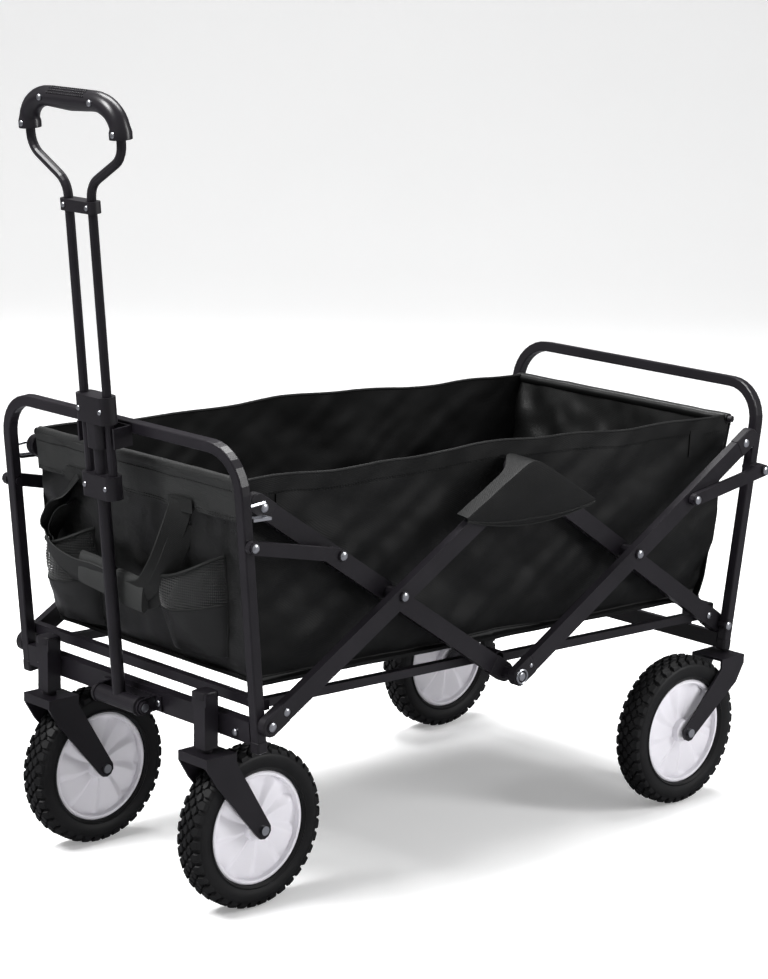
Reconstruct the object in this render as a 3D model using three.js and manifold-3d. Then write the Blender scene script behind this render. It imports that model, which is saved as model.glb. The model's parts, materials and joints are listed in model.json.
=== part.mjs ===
// Collapsible utility wagon with a telescoping pull handle. Millimetres, +Z up, handle end towards -Y.
import * as THREE from "three";
import * as BufferGeometryUtils from "three/addons/utils/BufferGeometryUtils.js";
import Module from "manifold-3d";

const wasm = await Module();
wasm.setup();

const GAP = 0.3;
const RAD = Math.PI / 180;

// Stance: the frame sits nose-up on its taller front casters, lifted to the height of its wheels.
const STANCE = 1.75 * RAD;
const STANCE_LIFT = 5.5;
const CENTRE_Y = 16.57;

// End frames: one bent square tube each, leaning outwards.
const TUBE = 13;
const HALF_WIDTH = 215;
const LEAN = 7 * RAD;
const LEG_BOTTOM_Y = 389.4;
const LEG_BOTTOM_Z = 188;
const FRAME_HEIGHT = 344.6;
const CORNER_RADIUS = 47;
const LEG_X = HALF_WIDTH - TUBE / 2;
const FRONT_CROSSBAR_LOW = 8.5;
const FRONT_CROSSBAR_HEIGHT = 25.5;
const REAR_CROSSBAR_LOW = 1;
const REAR_CROSSBAR_HEIGHT = 19;
const FLOOR_BAR = 11;
const FLOOR_BAR_Y = 382.4;
const FLOOR_BAR_Z = 239;
const LUG_THICK = 3;
const POST_X = 146;

// Double scissor on each side, in two planes either side of the legs.
const BAR_HEIGHT = 22;
const BAR_THICK = 10;
const INNER_X = 191;
const OUTER_X = 216;
const CROSS_Y = 197;
const CROSS_Z = 339;
const TOP_JOINT_Z = 462;
const HUB_Z = 2 * CROSS_Z - TOP_JOINT_Z;
const FOOT_Y = 388;
const FOOT_Z = CROSS_Z - ((FOOT_Y - CROSS_Y) * (TOP_JOINT_Z - CROSS_Z)) / CROSS_Y;
const BAR_END_Y = 396;
const BAR_END_Z = CROSS_Z + ((BAR_END_Y - CROSS_Y) * (TOP_JOINT_Z - CROSS_Z)) / CROSS_Y;
const PIN_R = 4;
const HOLE_R = PIN_R + GAP;
const SPACER_R = 8;
const HEAD_R = 6.5;
const HEAD_THICK = 2.2;

// Short stay links between the legs and the scissor bars.
const LINK_LEG_Z = 421;
const LINK_LEG_Y = LEG_BOTTOM_Y + (LINK_LEG_Z - LEG_BOTTOM_Z) * Math.tan(LEAN);
const LINK_BAR_Y = 290;
const LINK_BAR_Z = CROSS_Z + ((LINK_BAR_Y - CROSS_Y) * (TOP_JOINT_Z - CROSS_Z)) / CROSS_Y;
const LINK_HEIGHT = 15;
const LINK_THICK = 7;

// Folding floor rails, hinged at the floor bars and meeting on a cross tube.
const RAIL_Y = 367;
const RAIL_Z = 230;
const RAIL_SIZE = 10;
const RAIL_FRONT_X = 167;
const RAIL_REAR_X = 179;
const FLOOR_TUBE_R = 6;
const RAIL_EYE_R = 9.5;
const RAIL_EYE_CLEAR = 1;

// Wheels, forks and caster stems, square to the ground.
const WHEEL_R = 94.5;
const TYRE_WIDTH = 38;
const RIM_R = 66;
const RIM_WIDTH = 30;
const AXLE_R = 4;
const AXLE_HEAD_R = 5.4;
const FRONT_TRACK = 143.5;
const REAR_TRACK = 212;
const FRONT_AXLE_Y = -341;
const REAR_AXLE_Y = 304;
const STEM_Y = -405;
const STEM_SIZE = 19;
const STEM_TOP = 261.5;
const FORK_TOP = 193.5;
const REAR_FORK_TOP = 179;
const FORK_PLATE = 3;
const FORK_GAP = 44;
const FORK_FRONT_LIP = 11;

// Pull handle, built along the front frame's own plane.
const HANDLE_Y = -27.7;
const PIVOT_Z = 19.5;
const SLEEVE_R = 10;
const SLEEVE_HALF = 38;
const ROD_R = 4;
const LOWER_TUBE_R = 7.5;
const LOWER_TUBE_TOP = 369.7;
const THIN_TUBE_R = 5.2;
const THIN_TUBE_X = 20.5;
const COLLAR_WIDTH = 56;
const COLLAR_DEPTH = 22;
const SLIDER_LOW = 259;
const SLIDER_HIGH = 286;
const LOCK_LOW = 345;
const LOCK_HIGH = 376;
const INSERT_LOW = 316;
const NECK_LOW = 579.5;
const NECK_HIGH = 592.5;
const LOOP_X = 80;
const LOOP_TOP = 701.5;
const LOOP_BEND_R = 26;
const LOOP_BEND_TURN = 60;
const LOOP_CORNER_X = 40;
const LOOP_CORNER_Z = 30;
const GRIP_R = 12.5;
const GRIP_LOW = 664.5;

// Fabric tub.
const TUB_HALF_X = 187;
const TUB_WALL = 3;
const TUB_FLOOR = 5;
const TUB_TOP_Z = 488;
const TUB_BOTTOM_Z = 253;
const TUB_TOP_Y = 404;
const TUB_BOTTOM_Y = 373;

const wagon = new THREE.Group();
wagon.name = "wagon_with_pull_handle";

// Closed, welded copy of a geometry without shading data.
function weld(geometry) {
  const g = geometry.index ? geometry.toNonIndexed() : geometry.clone();
  g.deleteAttribute("normal");
  g.deleteAttribute("uv");
  return BufferGeometryUtils.mergeVertices(g, 1e-4);
}

function toSolid(geometry) {
  const g = weld(geometry);
  const mesh = new wasm.Mesh({
    numProp: 3,
    vertProperties: new Float32Array(g.attributes.position.array),
    triVerts: new Uint32Array(g.index.array),
  });
  return new wasm.Manifold(mesh);
}

function toGeometry(solid) {
  const mesh = solid.getMesh();
  const g = new THREE.BufferGeometry();
  g.setAttribute("position", new THREE.BufferAttribute(new Float32Array(mesh.vertProperties), 3));
  g.setIndex(new THREE.BufferAttribute(new Uint32Array(mesh.triVerts), 1));
  return g;
}

function fuse(...pieces) {
  return toGeometry(pieces.map(toSolid).reduce((a, b) => a.add(b)));
}

function cut(base, ...tools) {
  return toGeometry(tools.map(toSolid).reduce((a, b) => a.subtract(b), toSolid(base)));
}

// Box between two corners.
function block(x0, y0, z0, x1, y1, z1) {
  const g = new THREE.BoxGeometry(x1 - x0, y1 - y0, z1 - z0);
  return g.translate((x0 + x1) / 2, (y0 + y1) / 2, (z0 + z1) / 2);
}

// Round bar along X.
function rodX(radius, x0, x1, y, z, sides = 12) {
  const g = new THREE.CylinderGeometry(radius, radius, x1 - x0, sides);
  return g.rotateZ(-Math.PI / 2).translate((x0 + x1) / 2, y, z);
}

// Round bar along Z.
function rodZ(radius, z0, z1, x, y, sides = 16) {
  const g = new THREE.CylinderGeometry(radius, radius, z1 - z0, sides);
  return g.rotateX(Math.PI / 2).translate(x, y, (z0 + z1) / 2);
}

// Flat shape in the Y-Z plane, extruded from x0 to x1.
function plateX(shape, x0, x1, curveSegments = 8) {
  const g = new THREE.ExtrudeGeometry(shape, { depth: x1 - x0, bevelEnabled: false, curveSegments });
  const turn = new THREE.Matrix4().makeBasis(
    new THREE.Vector3(0, 1, 0),
    new THREE.Vector3(0, 0, 1),
    new THREE.Vector3(1, 0, 0),
  );
  return g.applyMatrix4(turn).translate(x0, 0, 0);
}

// Bar with rounded ends between two points of the Y-Z plane.
function strapShape(ya, za, yb, zb, width, endA = width / 2, endB = width / 2) {
  const along = Math.atan2(zb - za, yb - ya);
  const length = Math.hypot(yb - ya, zb - za);
  const r = width / 2;
  const bow = 5;
  const local = [];
  for (let i = 0; i <= bow; i++) {
    const t = -Math.PI / 2 + (Math.PI * i) / bow;
    local.push([length + endB * Math.cos(t), r * Math.sin(t)]);
  }
  for (let i = 0; i <= bow; i++) {
    const t = Math.PI / 2 + (Math.PI * i) / bow;
    local.push([endA * Math.cos(t), r * Math.sin(t)]);
  }
  const c = Math.cos(along);
  const s = Math.sin(along);
  return new THREE.Shape(local.map(([u, v]) => new THREE.Vector2(ya + u * c - v * s, za + u * s + v * c)));
}

// Rounded rectangle centred on the origin.
function roundedRect(width, height, radius) {
  const w = width / 2;
  const h = height / 2;
  const s = new THREE.Shape();
  s.moveTo(-w + radius, -h);
  s.lineTo(w - radius, -h);
  s.absarc(w - radius, -h + radius, radius, -Math.PI / 2, 0);
  s.lineTo(w, h - radius);
  s.absarc(w - radius, h - radius, radius, 0, Math.PI / 2);
  s.lineTo(-w + radius, h);
  s.absarc(-w + radius, h - radius, radius, Math.PI / 2, Math.PI);
  s.lineTo(-w, -h + radius);
  s.absarc(-w + radius, -h + radius, radius, Math.PI, 1.5 * Math.PI);
  return s;
}

// Straight runs joined by round corners, as one curve with evenly useful stations.
class RunPath extends THREE.Curve {
  constructor(stations) {
    super();
    this.stations = stations;
  }
  getPoint(t) {
    const n = this.stations.length - 1;
    const i = Math.min(Math.floor(t * n + 1e-9), n - 1);
    return this.stations[i].clone().lerp(this.stations[i + 1], t * n - i);
  }
  getPointAt(t) {
    return this.getPoint(t);
  }
  getTangentAt(t) {
    const n = this.stations.length - 1;
    const i = Math.round(t * n);
    const before = this.stations[Math.max(i - 1, 0)];
    const after = this.stations[Math.min(i + 1, n)];
    return after.clone().sub(before).normalize();
  }
}

function sweepStations(section, stations, curveSegments = 3) {
  const extrudePath = new RunPath(stations);
  const steps = stations.length - 1;
  return new THREE.ExtrudeGeometry(section, { steps, bevelEnabled: false, extrudePath, curveSegments });
}

function arcStations(cx, cz, radius, from, to, count) {
  const list = [];
  for (let i = 0; i <= count; i++) {
    const t = (from + ((to - from) * i) / count) * RAD;
    list.push(new THREE.Vector3(cx + radius * Math.cos(t), 0, cz + radius * Math.sin(t)));
  }
  return list;
}

// Places a piece drawn in an end frame's own upright plane. side: -1 handle end, +1 rear end.
function onFrame(geometry, side) {
  return geometry.rotateX(-side * LEAN).translate(0, side * LEG_BOTTOM_Y, LEG_BOTTOM_Z);
}

// Sets the level frame into the wagon's stance on the ground.
function settle(geometry) {
  return geometry.rotateX(-STANCE).translate(0, 0, STANCE_LIFT);
}

function addPart(name, geometry, colour, roughness = 0.45, metalness = 0.6) {
  const g = weld(geometry.translate(0, CENTRE_Y, 0));
  g.computeVertexNormals();
  const mesh = new THREE.Mesh(g, new THREE.MeshStandardMaterial({ color: colour, roughness, metalness }));
  mesh.name = name;
  wagon.add(mesh);
}

const STEEL = 0x1c1a1f;
const PLASTIC = 0x121214;
const BRIGHT = 0xc9ccd0;
const RUBBER = 0x101012;
const RIM = 0xf0eef2;
const FABRIC = 0x1d1e1e;

const MIRROR = new THREE.Matrix4().makeScale(-1, 1, 1);
const FLIP_Y = new THREE.Matrix4().makeScale(1, -1, 1);

// Mirrored copy with its faces turned the right way round again.
function mirrored(geometry, matrix) {
  const g = weld(geometry).applyMatrix4(matrix);
  const index = g.index.array;
  for (let i = 0; i < index.length; i += 3) {
    const keep = index[i];
    index[i] = index[i + 1];
    index[i + 1] = keep;
  }
  return g;
}

const SIDES = [
  ["near", (g) => g],
  ["far", (g) => mirrored(g, MIRROR)],
];

// U-shaped end frame with pivot holes through both legs.
function endFrame(side) {
  const half = LEG_X;
  const top = FRAME_HEIGHT - TUBE / 2;
  const r = CORNER_RADIUS;
  const right = arcStations(half - r, top - r, r, 0, 90, 8);
  const left = arcStations(-half + r, top - r, r, 90, 180, 8);
  const foot = (x) => new THREE.Vector3(x, 0, 0);
  const section = roundedRect(TUBE, TUBE, 1.6);
  const frame = onFrame(sweepStations(section, [foot(half), ...right, ...left, foot(-half)], 1), side);
  const holes = [
    rodX(HOLE_R, -HALF_WIDTH - 5, HALF_WIDTH + 5, side * FOOT_Y, FOOT_Z),
    rodX(HOLE_R, -HALF_WIDTH - 5, HALF_WIDTH + 5, side * LINK_LEG_Y, LINK_LEG_Z),
  ];
  return settle(cut(frame, ...holes));
}

function crossbar(side) {
  const reach = HALF_WIDTH - TUBE - GAP;
  const half = TUBE / 2;
  const low = side < 0 ? FRONT_CROSSBAR_LOW : REAR_CROSSBAR_LOW;
  const high = low + (side < 0 ? FRONT_CROSSBAR_HEIGHT : REAR_CROSSBAR_HEIGHT);
  return settle(onFrame(block(-reach, -half, low, reach, half, high), side));
}

// Floor bar with a lug and pin for each floor rail. The rear one stands on two posts.
function floorBar(side) {
  const half = FLOOR_BAR / 2;
  const y = FLOOR_BAR_Y;
  const reach = side < 0 ? LEG_X : INNER_X - 1;
  const bar = block(-reach, y - half, FLOOR_BAR_Z - half, reach, y + half, FLOOR_BAR_Z + half);
  const railX = side < 0 ? RAIL_FRONT_X : RAIL_REAR_X;
  const lugX = railX - GAP - LUG_THICK;
  const lugShape = strapShape(RAIL_Y, RAIL_Z, y, FLOOR_BAR_Z, FLOOR_BAR, half, 2);
  const pin = rodX(PIN_R, lugX, railX + RAIL_SIZE + 1, RAIL_Y, RAIL_Z);
  const lug = fuse(plateX(lugShape, lugX, lugX + LUG_THICK), pin);
  const pieces = [bar, lug, mirrored(lug, MIRROR)];
  if (side > 0) {
    const foot = LEG_BOTTOM_Z + REAR_CROSSBAR_LOW + REAR_CROSSBAR_HEIGHT + 1.3;
    const post = block(POST_X, y - 3, foot, POST_X + 8, y + 8, FLOOR_BAR_Z);
    pieces.push(post, mirrored(post, MIRROR));
  }
  const one = fuse(...pieces);
  return settle(side < 0 ? mirrored(one, FLIP_Y) : one);
}

// Pin with a flat head beyond the outer face, lying along X.
function rivet(x0, x1, y, z) {
  return fuse(rodX(PIN_R, x0, x1, y, z), rodX(HEAD_R, x1 - GAP, x1 + HEAD_THICK, y, z, 14));
}

// Long bar from a foot pivot on the leg to the top middle joint. outer: which plane it runs in.
function footBar(outer) {
  const x0 = outer ? OUTER_X : INNER_X;
  const x1 = x0 + BAR_THICK;
  const bar = plateX(strapShape(FOOT_Y, FOOT_Z, 0, TOP_JOINT_Z, BAR_HEIGHT), x0, x1);
  if (!outer) {
    const pin = rivet(x1 - 1, HALF_WIDTH + GAP, FOOT_Y, FOOT_Z);
    const holes = [
      rodX(HOLE_R, x0 - 5, x1 + 5, CROSS_Y, CROSS_Z),
      rodX(HOLE_R, x0 - 5, x1 + 5, 0, TOP_JOINT_Z),
    ];
    return cut(fuse(bar, pin), ...holes);
  }
  const pins = [
    [FOOT_Y, FOOT_Z, HALF_WIDTH - TUBE + GAP, false],
    [CROSS_Y, CROSS_Z, INNER_X - 2, true],
    [0, TOP_JOINT_Z, INNER_X - 2, true],
  ];
  const pieces = pins.map(([y, z, inner]) => rivet(inner, x1, y, z));
  const spacers = pins.filter((p) => p[3]).map(([y, z]) => spacer(y, z));
  return fuse(bar, ...pieces, ...spacers);
}

// Sleeve that bridges the leg plane between the two bar planes.
function spacer(y, z) {
  return rodX(SPACER_R, INNER_X + BAR_THICK + GAP, OUTER_X + 1, y, z);
}

// Long bar from the bottom hub up to the end of the tub. outer: which plane it runs in.
function hubBar(outer) {
  const x0 = outer ? OUTER_X : INNER_X;
  const x1 = x0 + BAR_THICK;
  const bar = plateX(strapShape(0, HUB_Z, BAR_END_Y, BAR_END_Z, BAR_HEIGHT), x0, x1);
  if (!outer) {
    const holes = [
      rodX(HOLE_R, x0 - 5, x1 + 5, CROSS_Y, CROSS_Z),
      rodX(HOLE_R, x0 - 5, x1 + 5, 0, HUB_Z),
    ];
    return cut(bar, ...holes);
  }
  const pins = [
    [CROSS_Y, CROSS_Z],
    [0, HUB_Z],
  ];
  const pieces = pins.flatMap(([y, z]) => [rivet(INNER_X - 2, x1, y, z), spacer(y, z)]);
  return fuse(bar, ...pieces);
}

// Stay link from the leg to the scissor bar. It stops short of the bar, with a rivet head outside.
function stayLink(outer) {
  const x0 = outer ? OUTER_X + BAR_THICK + 1 : OUTER_X;
  const x1 = x0 + LINK_THICK;
  const shape = strapShape(LINK_LEG_Y, LINK_LEG_Z, LINK_BAR_Y, LINK_BAR_Z, LINK_HEIGHT);
  const pieces = [plateX(shape, x0, x1), rivet(HALF_WIDTH - TUBE - 2, x1, LINK_LEG_Y, LINK_LEG_Z)];
  pieces.push(rodX(HEAD_R, x1 - GAP, x1 + HEAD_THICK, LINK_BAR_Y, LINK_BAR_Z, 14));
  if (outer) {
    pieces.push(rodX(SPACER_R, HALF_WIDTH + GAP, x0 + 1, LINK_LEG_Y, LINK_LEG_Z));
  } else {
    pieces.push(rodX(SPACER_R - 1, INNER_X + BAR_THICK + GAP, x0 + 1, LINK_BAR_Y, LINK_BAR_Z));
  }
  return fuse(...pieces);
}

function scissorSide(label, place) {
  const front = (g) => settle(place(mirrored(g, FLIP_Y)));
  const rear = (g) => settle(place(g));
  addPart(`bar_b_${label}`, front(footBar(true)), STEEL);
  addPart(`bar_a_${label}`, front(hubBar(false)), STEEL);
  addPart(`bar_d_${label}`, rear(footBar(false)), STEEL);
  addPart(`bar_c_${label}`, rear(hubBar(true)), STEEL);
  addPart(`link_front_${label}`, front(stayLink(false)), STEEL);
  addPart(`link_rear_${label}`, rear(stayLink(true)), STEEL);
}

// Floor rail from its floor bar to the middle, with an eye at each end.
function floorRail(frontEnd) {
  const x0 = frontEnd ? RAIL_FRONT_X : RAIL_REAR_X;
  const x1 = x0 + RAIL_SIZE;
  const bar = plateX(strapShape(RAIL_Y, RAIL_Z, 0, RAIL_Z, RAIL_SIZE), x0, x1);
  const eye = rodX(RAIL_EYE_R, x0, x1, 0, RAIL_Z, 20);
  const clear = frontEnd ? GAP : RAIL_EYE_CLEAR;
  const holes = [
    rodX(HOLE_R, x0 - 5, x1 + 5, RAIL_Y, RAIL_Z),
    rodX(FLOOR_TUBE_R + clear, x0 - 5, x1 + 5, 0, RAIL_Z, 20),
  ];
  return cut(fuse(bar, eye), ...holes);
}

function floorRails(label, place) {
  addPart(`rail_front_${label}`, settle(place(mirrored(floorRail(true), FLIP_Y))), STEEL);
  addPart(`rail_rear_${label}`, settle(place(floorRail(false))), STEEL);
}

// Cross tube that lifts the middle of the floor.
function floorTube() {
  const reach = RAIL_FRONT_X + RAIL_SIZE + 1;
  return settle(rodX(FLOOR_TUBE_R, -reach, reach, 0, RAIL_Z, 20));
}

// Tyre of revolution about X, with a rounded shoulder and a shallow tread crown.
function tyre(x, y) {
  const w = TYRE_WIDTH / 2;
  const profile = [
    [RIM_R + GAP, -w],
    [WHEEL_R - 8, -w],
    [WHEEL_R - 1, -w + 5],
    [WHEEL_R, 0],
    [WHEEL_R - 1, w - 5],
    [WHEEL_R - 8, w],
    [RIM_R + GAP, w],
    [RIM_R + GAP, -w],
  ].map(([r, h]) => new THREE.Vector2(r, h));
  return new THREE.LatheGeometry(profile, 40).rotateZ(-Math.PI / 2).translate(x, y, WHEEL_R);
}

// Dished rim with a flat lip and a bored hub.
function rim(x, y) {
  const w = RIM_WIDTH / 2;
  const profile = [
    [AXLE_R + GAP, -w - 2],
    [14, -w - 2],
    [RIM_R - 9, -w + 5],
    [RIM_R - 6, -w],
    [RIM_R, -w],
    [RIM_R, w],
    [RIM_R - 6, w],
    [RIM_R - 9, w - 5],
    [14, w + 2],
    [AXLE_R + GAP, w + 2],
    [AXLE_R + GAP, -w - 2],
  ].map(([r, h]) => new THREE.Vector2(r, h));
  return new THREE.LatheGeometry(profile, 28).rotateZ(-Math.PI / 2).translate(x, y, WHEEL_R);
}

// Bent-plate fork: top plate, two trailing arms and a turned-down lip at its leading edge.
function fork(x, stemY, axleY, top) {
  const dir = Math.sign(axleY - stemY);
  const half = FORK_GAP / 2;
  const out = half + FORK_PLATE;
  const lead = stemY - dir * 19;
  const back = stemY + dir * 24;
  const low = top - FORK_PLATE;
  const y0 = Math.min(lead, back);
  const y1 = Math.max(lead, back);
  const plate = block(x - out, y0, low, x + out, y1, top);
  const lipY = lead + dir * FORK_PLATE;
  const lip = block(x - out, Math.min(lead, lipY), top - FORK_FRONT_LIP, x + out, Math.max(lead, lipY), top);
  const arm = new THREE.Shape();
  const r = 11;
  arm.moveTo(lead, top);
  arm.lineTo(lead, top - FORK_FRONT_LIP);
  arm.lineTo(stemY - dir * 5, top - 34);
  const bow = 5;
  for (let i = 0; i <= bow; i++) {
    const t = (-150 + (170 * i) / bow) * RAD;
    arm.lineTo(axleY + dir * r * Math.cos(t), WHEEL_R + r * Math.sin(t));
  }
  arm.lineTo(back, top - 12);
  arm.lineTo(back, top);
  const arms = [plateX(arm, x - out, x - half), plateX(arm, x + half, x + out)];
  const body = fuse(plate, lip, ...arms);
  return cut(body, rodX(AXLE_R + GAP, x - out - 5, x + out + 5, axleY, WHEEL_R, 20));
}

// Axle bolt with a head outside each arm.
function axle(x, y) {
  const out = FORK_GAP / 2 + FORK_PLATE + GAP;
  const shaft = rodX(AXLE_R, x - out, x + out, y, WHEEL_R, 20);
  const heads = [
    rodX(AXLE_HEAD_R, x - out - 3, x - out + GAP / 2, y, WHEEL_R, 20),
    rodX(AXLE_HEAD_R, x + out - GAP / 2, x + out + 3, y, WHEEL_R, 20),
  ];
  return fuse(shaft, ...heads);
}

// Square caster stem standing in front of the crossbar.
function stem(x) {
  const h = STEM_SIZE / 2;
  const post = block(x - h, STEM_Y - h, FORK_TOP + 5, x + h, STEM_Y + h, STEM_TOP);
  const cap = block(x - h - 2.5, STEM_Y - h - 1, STEM_TOP - 13, x + h + 2.5, STEM_Y + 2, STEM_TOP + 1.5);
  const collar = rodZ(8, FORK_TOP + GAP, FORK_TOP + 6, x, STEM_Y, 20);
  return fuse(post, cap, collar);
}

function wheelSet(label, sign) {
  const xf = sign * FRONT_TRACK;
  const xr = sign * REAR_TRACK;
  addPart(`caster_stem_${label}`, stem(xf), STEEL);
  addPart(`front_fork_${label}`, fork(xf, STEM_Y, FRONT_AXLE_Y, FORK_TOP), STEEL);
  addPart(`front_axle_${label}`, axle(xf, FRONT_AXLE_Y), BRIGHT, 0.3, 0.9);
  addPart(`front_tyre_${label}`, tyre(xf, FRONT_AXLE_Y), RUBBER, 0.85, 0);
  addPart(`front_rim_${label}`, rim(xf, FRONT_AXLE_Y), RIM, 0.4, 0);
  addPart(`rear_fork_${label}`, fork(xr, rearForkY(), REAR_AXLE_Y, REAR_FORK_TOP), STEEL);
  addPart(`rear_axle_${label}`, axle(xr, REAR_AXLE_Y), BRIGHT, 0.3, 0.9);
  addPart(`rear_tyre_${label}`, tyre(xr, REAR_AXLE_Y), RUBBER, 0.85, 0);
  addPart(`rear_rim_${label}`, rim(xr, REAR_AXLE_Y), RIM, 0.4, 0);
}

// The rear fork plate sits centred under the foot of the rear leg.
function rearForkY() {
  return LEG_BOTTOM_Y * Math.cos(STANCE) + LEG_BOTTOM_Z * Math.sin(STANCE) - 10;
}

// Bracket on the crossbar that carries the handle's hinge rod.
function handleBracket() {
  const half = TUBE / 2;
  const earX = SLEEVE_HALF + 1.5;
  const backY = -half - GAP;
  const low = PIVOT_Z - 9;
  const high = PIVOT_Z + 9;
  const back = block(-earX - 12, backY - 2.5, low, earX + 12, backY, high);
  const ear = (x) => plateX(strapShape(backY - 1, PIVOT_Z, HANDLE_Y, PIVOT_Z, 18, 0.5, 9), x, x + 3);
  const rod = rodX(ROD_R, -earX - 6, earX + 6, HANDLE_Y, PIVOT_Z);
  const head = rodX(7, earX + 3, earX + 7, HANDLE_Y, PIVOT_Z, 20);
  return settle(onFrame(fuse(back, ear(earX), ear(-earX - 3), rod, head), -1));
}

// Clip on the top bar whose ears hold the parked handle.
function handleClip() {
  const back = -TUBE / 2 - GAP;
  const low = FRAME_HEIGHT - 26;
  const high = FRAME_HEIGHT - 3;
  const plate = block(-33, back - 2.5, low, 33, back, high);
  const ear = (x) => block(x, HANDLE_Y - 4, low, x + 2.5, back - 1, high);
  return settle(onFrame(fuse(plate, ear(30.5), ear(-33)), -1));
}

// Hinge sleeve welded across the foot of the single lower tube.
function handleLowerTube() {
  const sleeve = rodX(SLEEVE_R, -SLEEVE_HALF, SLEEVE_HALF, HANDLE_Y, PIVOT_Z, 24);
  const tube = rodZ(LOWER_TUBE_R, PIVOT_Z, LOWER_TUBE_TOP, 0, HANDLE_Y, 20);
  const bore = rodX(ROD_R + GAP, -SLEEVE_HALF - 5, SLEEVE_HALF + 5, HANDLE_Y, PIVOT_Z, 20);
  return settle(onFrame(cut(fuse(sleeve, tube), bore), -1));
}

// Oval collar slab around the handle tubes.
function collar(low, high, width = COLLAR_WIDTH, depth = COLLAR_DEPTH) {
  const slab = new THREE.ExtrudeGeometry(roundedRect(width, depth, depth * 0.42), {
    depth: high - low,
    bevelEnabled: false,
    curveSegments: 5,
  });
  return slab.translate(0, HANDLE_Y, low);
}

function thinBores(low, high) {
  const r = THIN_TUBE_R + GAP;
  return [-THIN_TUBE_X, THIN_TUBE_X].map((x) => rodZ(r, low - 5, high + 5, x, HANDLE_Y, 20));
}

function handleCollars() {
  const centre = rodZ(LOWER_TUBE_R + GAP, INSERT_LOW - 5, LOCK_HIGH - 6, 0, HANDLE_Y, 24);
  const lock = cut(collar(LOCK_LOW, LOCK_HIGH), centre, ...thinBores(LOCK_LOW, LOCK_HIGH));
  const insert = collar(INSERT_LOW, LOCK_LOW - GAP, 27, 20);
  const slider = cut(
    collar(SLIDER_LOW, SLIDER_HIGH),
    rodZ(LOWER_TUBE_R + GAP, SLIDER_LOW - 5, SLIDER_HIGH + 5, 0, HANDLE_Y, 24),
    ...thinBores(SLIDER_LOW, SLIDER_HIGH),
  );
  const neck = cut(collar(NECK_LOW, NECK_HIGH, 60, 16), ...thinBores(NECK_LOW, NECK_HIGH));
  const place = (g) => settle(onFrame(g, -1));
  addPart("lock_collar", place(lock), PLASTIC, 0.5, 0.1);
  addPart("lock_insert", place(cut(insert, centre, ...thinBores(INSERT_LOW, LOCK_LOW))), PLASTIC, 0.5, 0.1);
  addPart("slider_collar", place(slider), STEEL);
  addPart("neck_collar", place(neck), STEEL);
}

// Half of the loop's centre line, from the slider collar up to the middle of the grip.
function loopHalf() {
  const r = LOOP_BEND_R;
  const turn = LOOP_BEND_TURN * RAD;
  const run = LOOP_X - THIN_TUBE_X - 2 * r * (1 - Math.cos(turn));
  const kneeZ = NECK_HIGH + 2;
  const shoulderZ = kneeZ + 2 * r * Math.sin(turn) + run / Math.tan(turn);
  const knee = arcStations(THIN_TUBE_X + r, kneeZ, r, 180, 180 - LOOP_BEND_TURN, 5);
  const shoulder = arcStations(LOOP_X - r, shoulderZ, r, -LOOP_BEND_TURN, 0, 5);
  const corner = arcStations(0, 0, 1, 0, 90, 7).map((p) => {
    p.x = LOOP_X - LOOP_CORNER_X + p.x * LOOP_CORNER_X;
    p.z = LOOP_TOP - LOOP_CORNER_Z + p.z * LOOP_CORNER_Z;
    return p;
  });
  const low = new THREE.Vector3(THIN_TUBE_X, 0, SLIDER_LOW + 1);
  return [low, ...knee, ...shoulder, ...corner];
}

function mirrorStations(list) {
  return list.map((p) => new THREE.Vector3(-p.x, p.y, p.z)).reverse();
}

// One bent tube: up from the slider, round the grip and back down.
function handleLoop() {
  const half = loopHalf();
  const circle = new THREE.Shape();
  circle.absarc(0, 0, THIN_TUBE_R, 0, 2 * Math.PI);
  const tube = sweepStations(circle, [...half, ...mirrorStations(half)], 6);
  return settle(onFrame(tube.translate(0, HANDLE_Y, 0), -1));
}

// Moulded grip wrapped round the top of the loop, bored for the tube.
function grip() {
  const half = loopHalf().filter((p) => p.z > GRIP_LOW);
  half.unshift(new THREE.Vector3(LOOP_X, 0, GRIP_LOW));
  const section = new THREE.Shape();
  section.absellipse(0, 0, GRIP_R - 1, GRIP_R, 0, 2 * Math.PI);
  const body = sweepStations(section, [...half, ...mirrorStations(half)], 8);
  const bore = new THREE.Shape();
  bore.absarc(0, 0, THIN_TUBE_R + GAP, 0, 2 * Math.PI);
  const tail = new THREE.Vector3(half[0].x, 0, GRIP_LOW - 5);
  const inner = sweepStations(bore, [tail, ...half, ...mirrorStations([tail, ...half])], 6);
  return settle(onFrame(cut(body, inner).translate(0, HANDLE_Y, 0), -1));
}

// Distance of the tub's end wall from the middle at a height.
function tubWallY(z) {
  const t = (z - TUB_BOTTOM_Z) / (TUB_TOP_Z - TUB_BOTTOM_Z);
  return TUB_BOTTOM_Y + t * (TUB_TOP_Y - TUB_BOTTOM_Y);
}

// Cloth end panel hung in the plane of its end frame. side: -1 handle end, 1 other end.
function endPanel(side) {
  const reach = TUB_HALF_X - TUB_WALL - GAP;
  const s = new THREE.Shape();
  s.moveTo(side * tubWallY(TUB_BOTTOM_Z), TUB_BOTTOM_Z);
  s.lineTo(side * tubWallY(TUB_TOP_Z), TUB_TOP_Z);
  s.lineTo(side * (tubWallY(TUB_TOP_Z) - TUB_WALL), TUB_TOP_Z);
  s.lineTo(side * (tubWallY(TUB_BOTTOM_Z) - TUB_WALL), TUB_BOTTOM_Z);
  return settle(plateX(s, -reach, reach));
}

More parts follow.
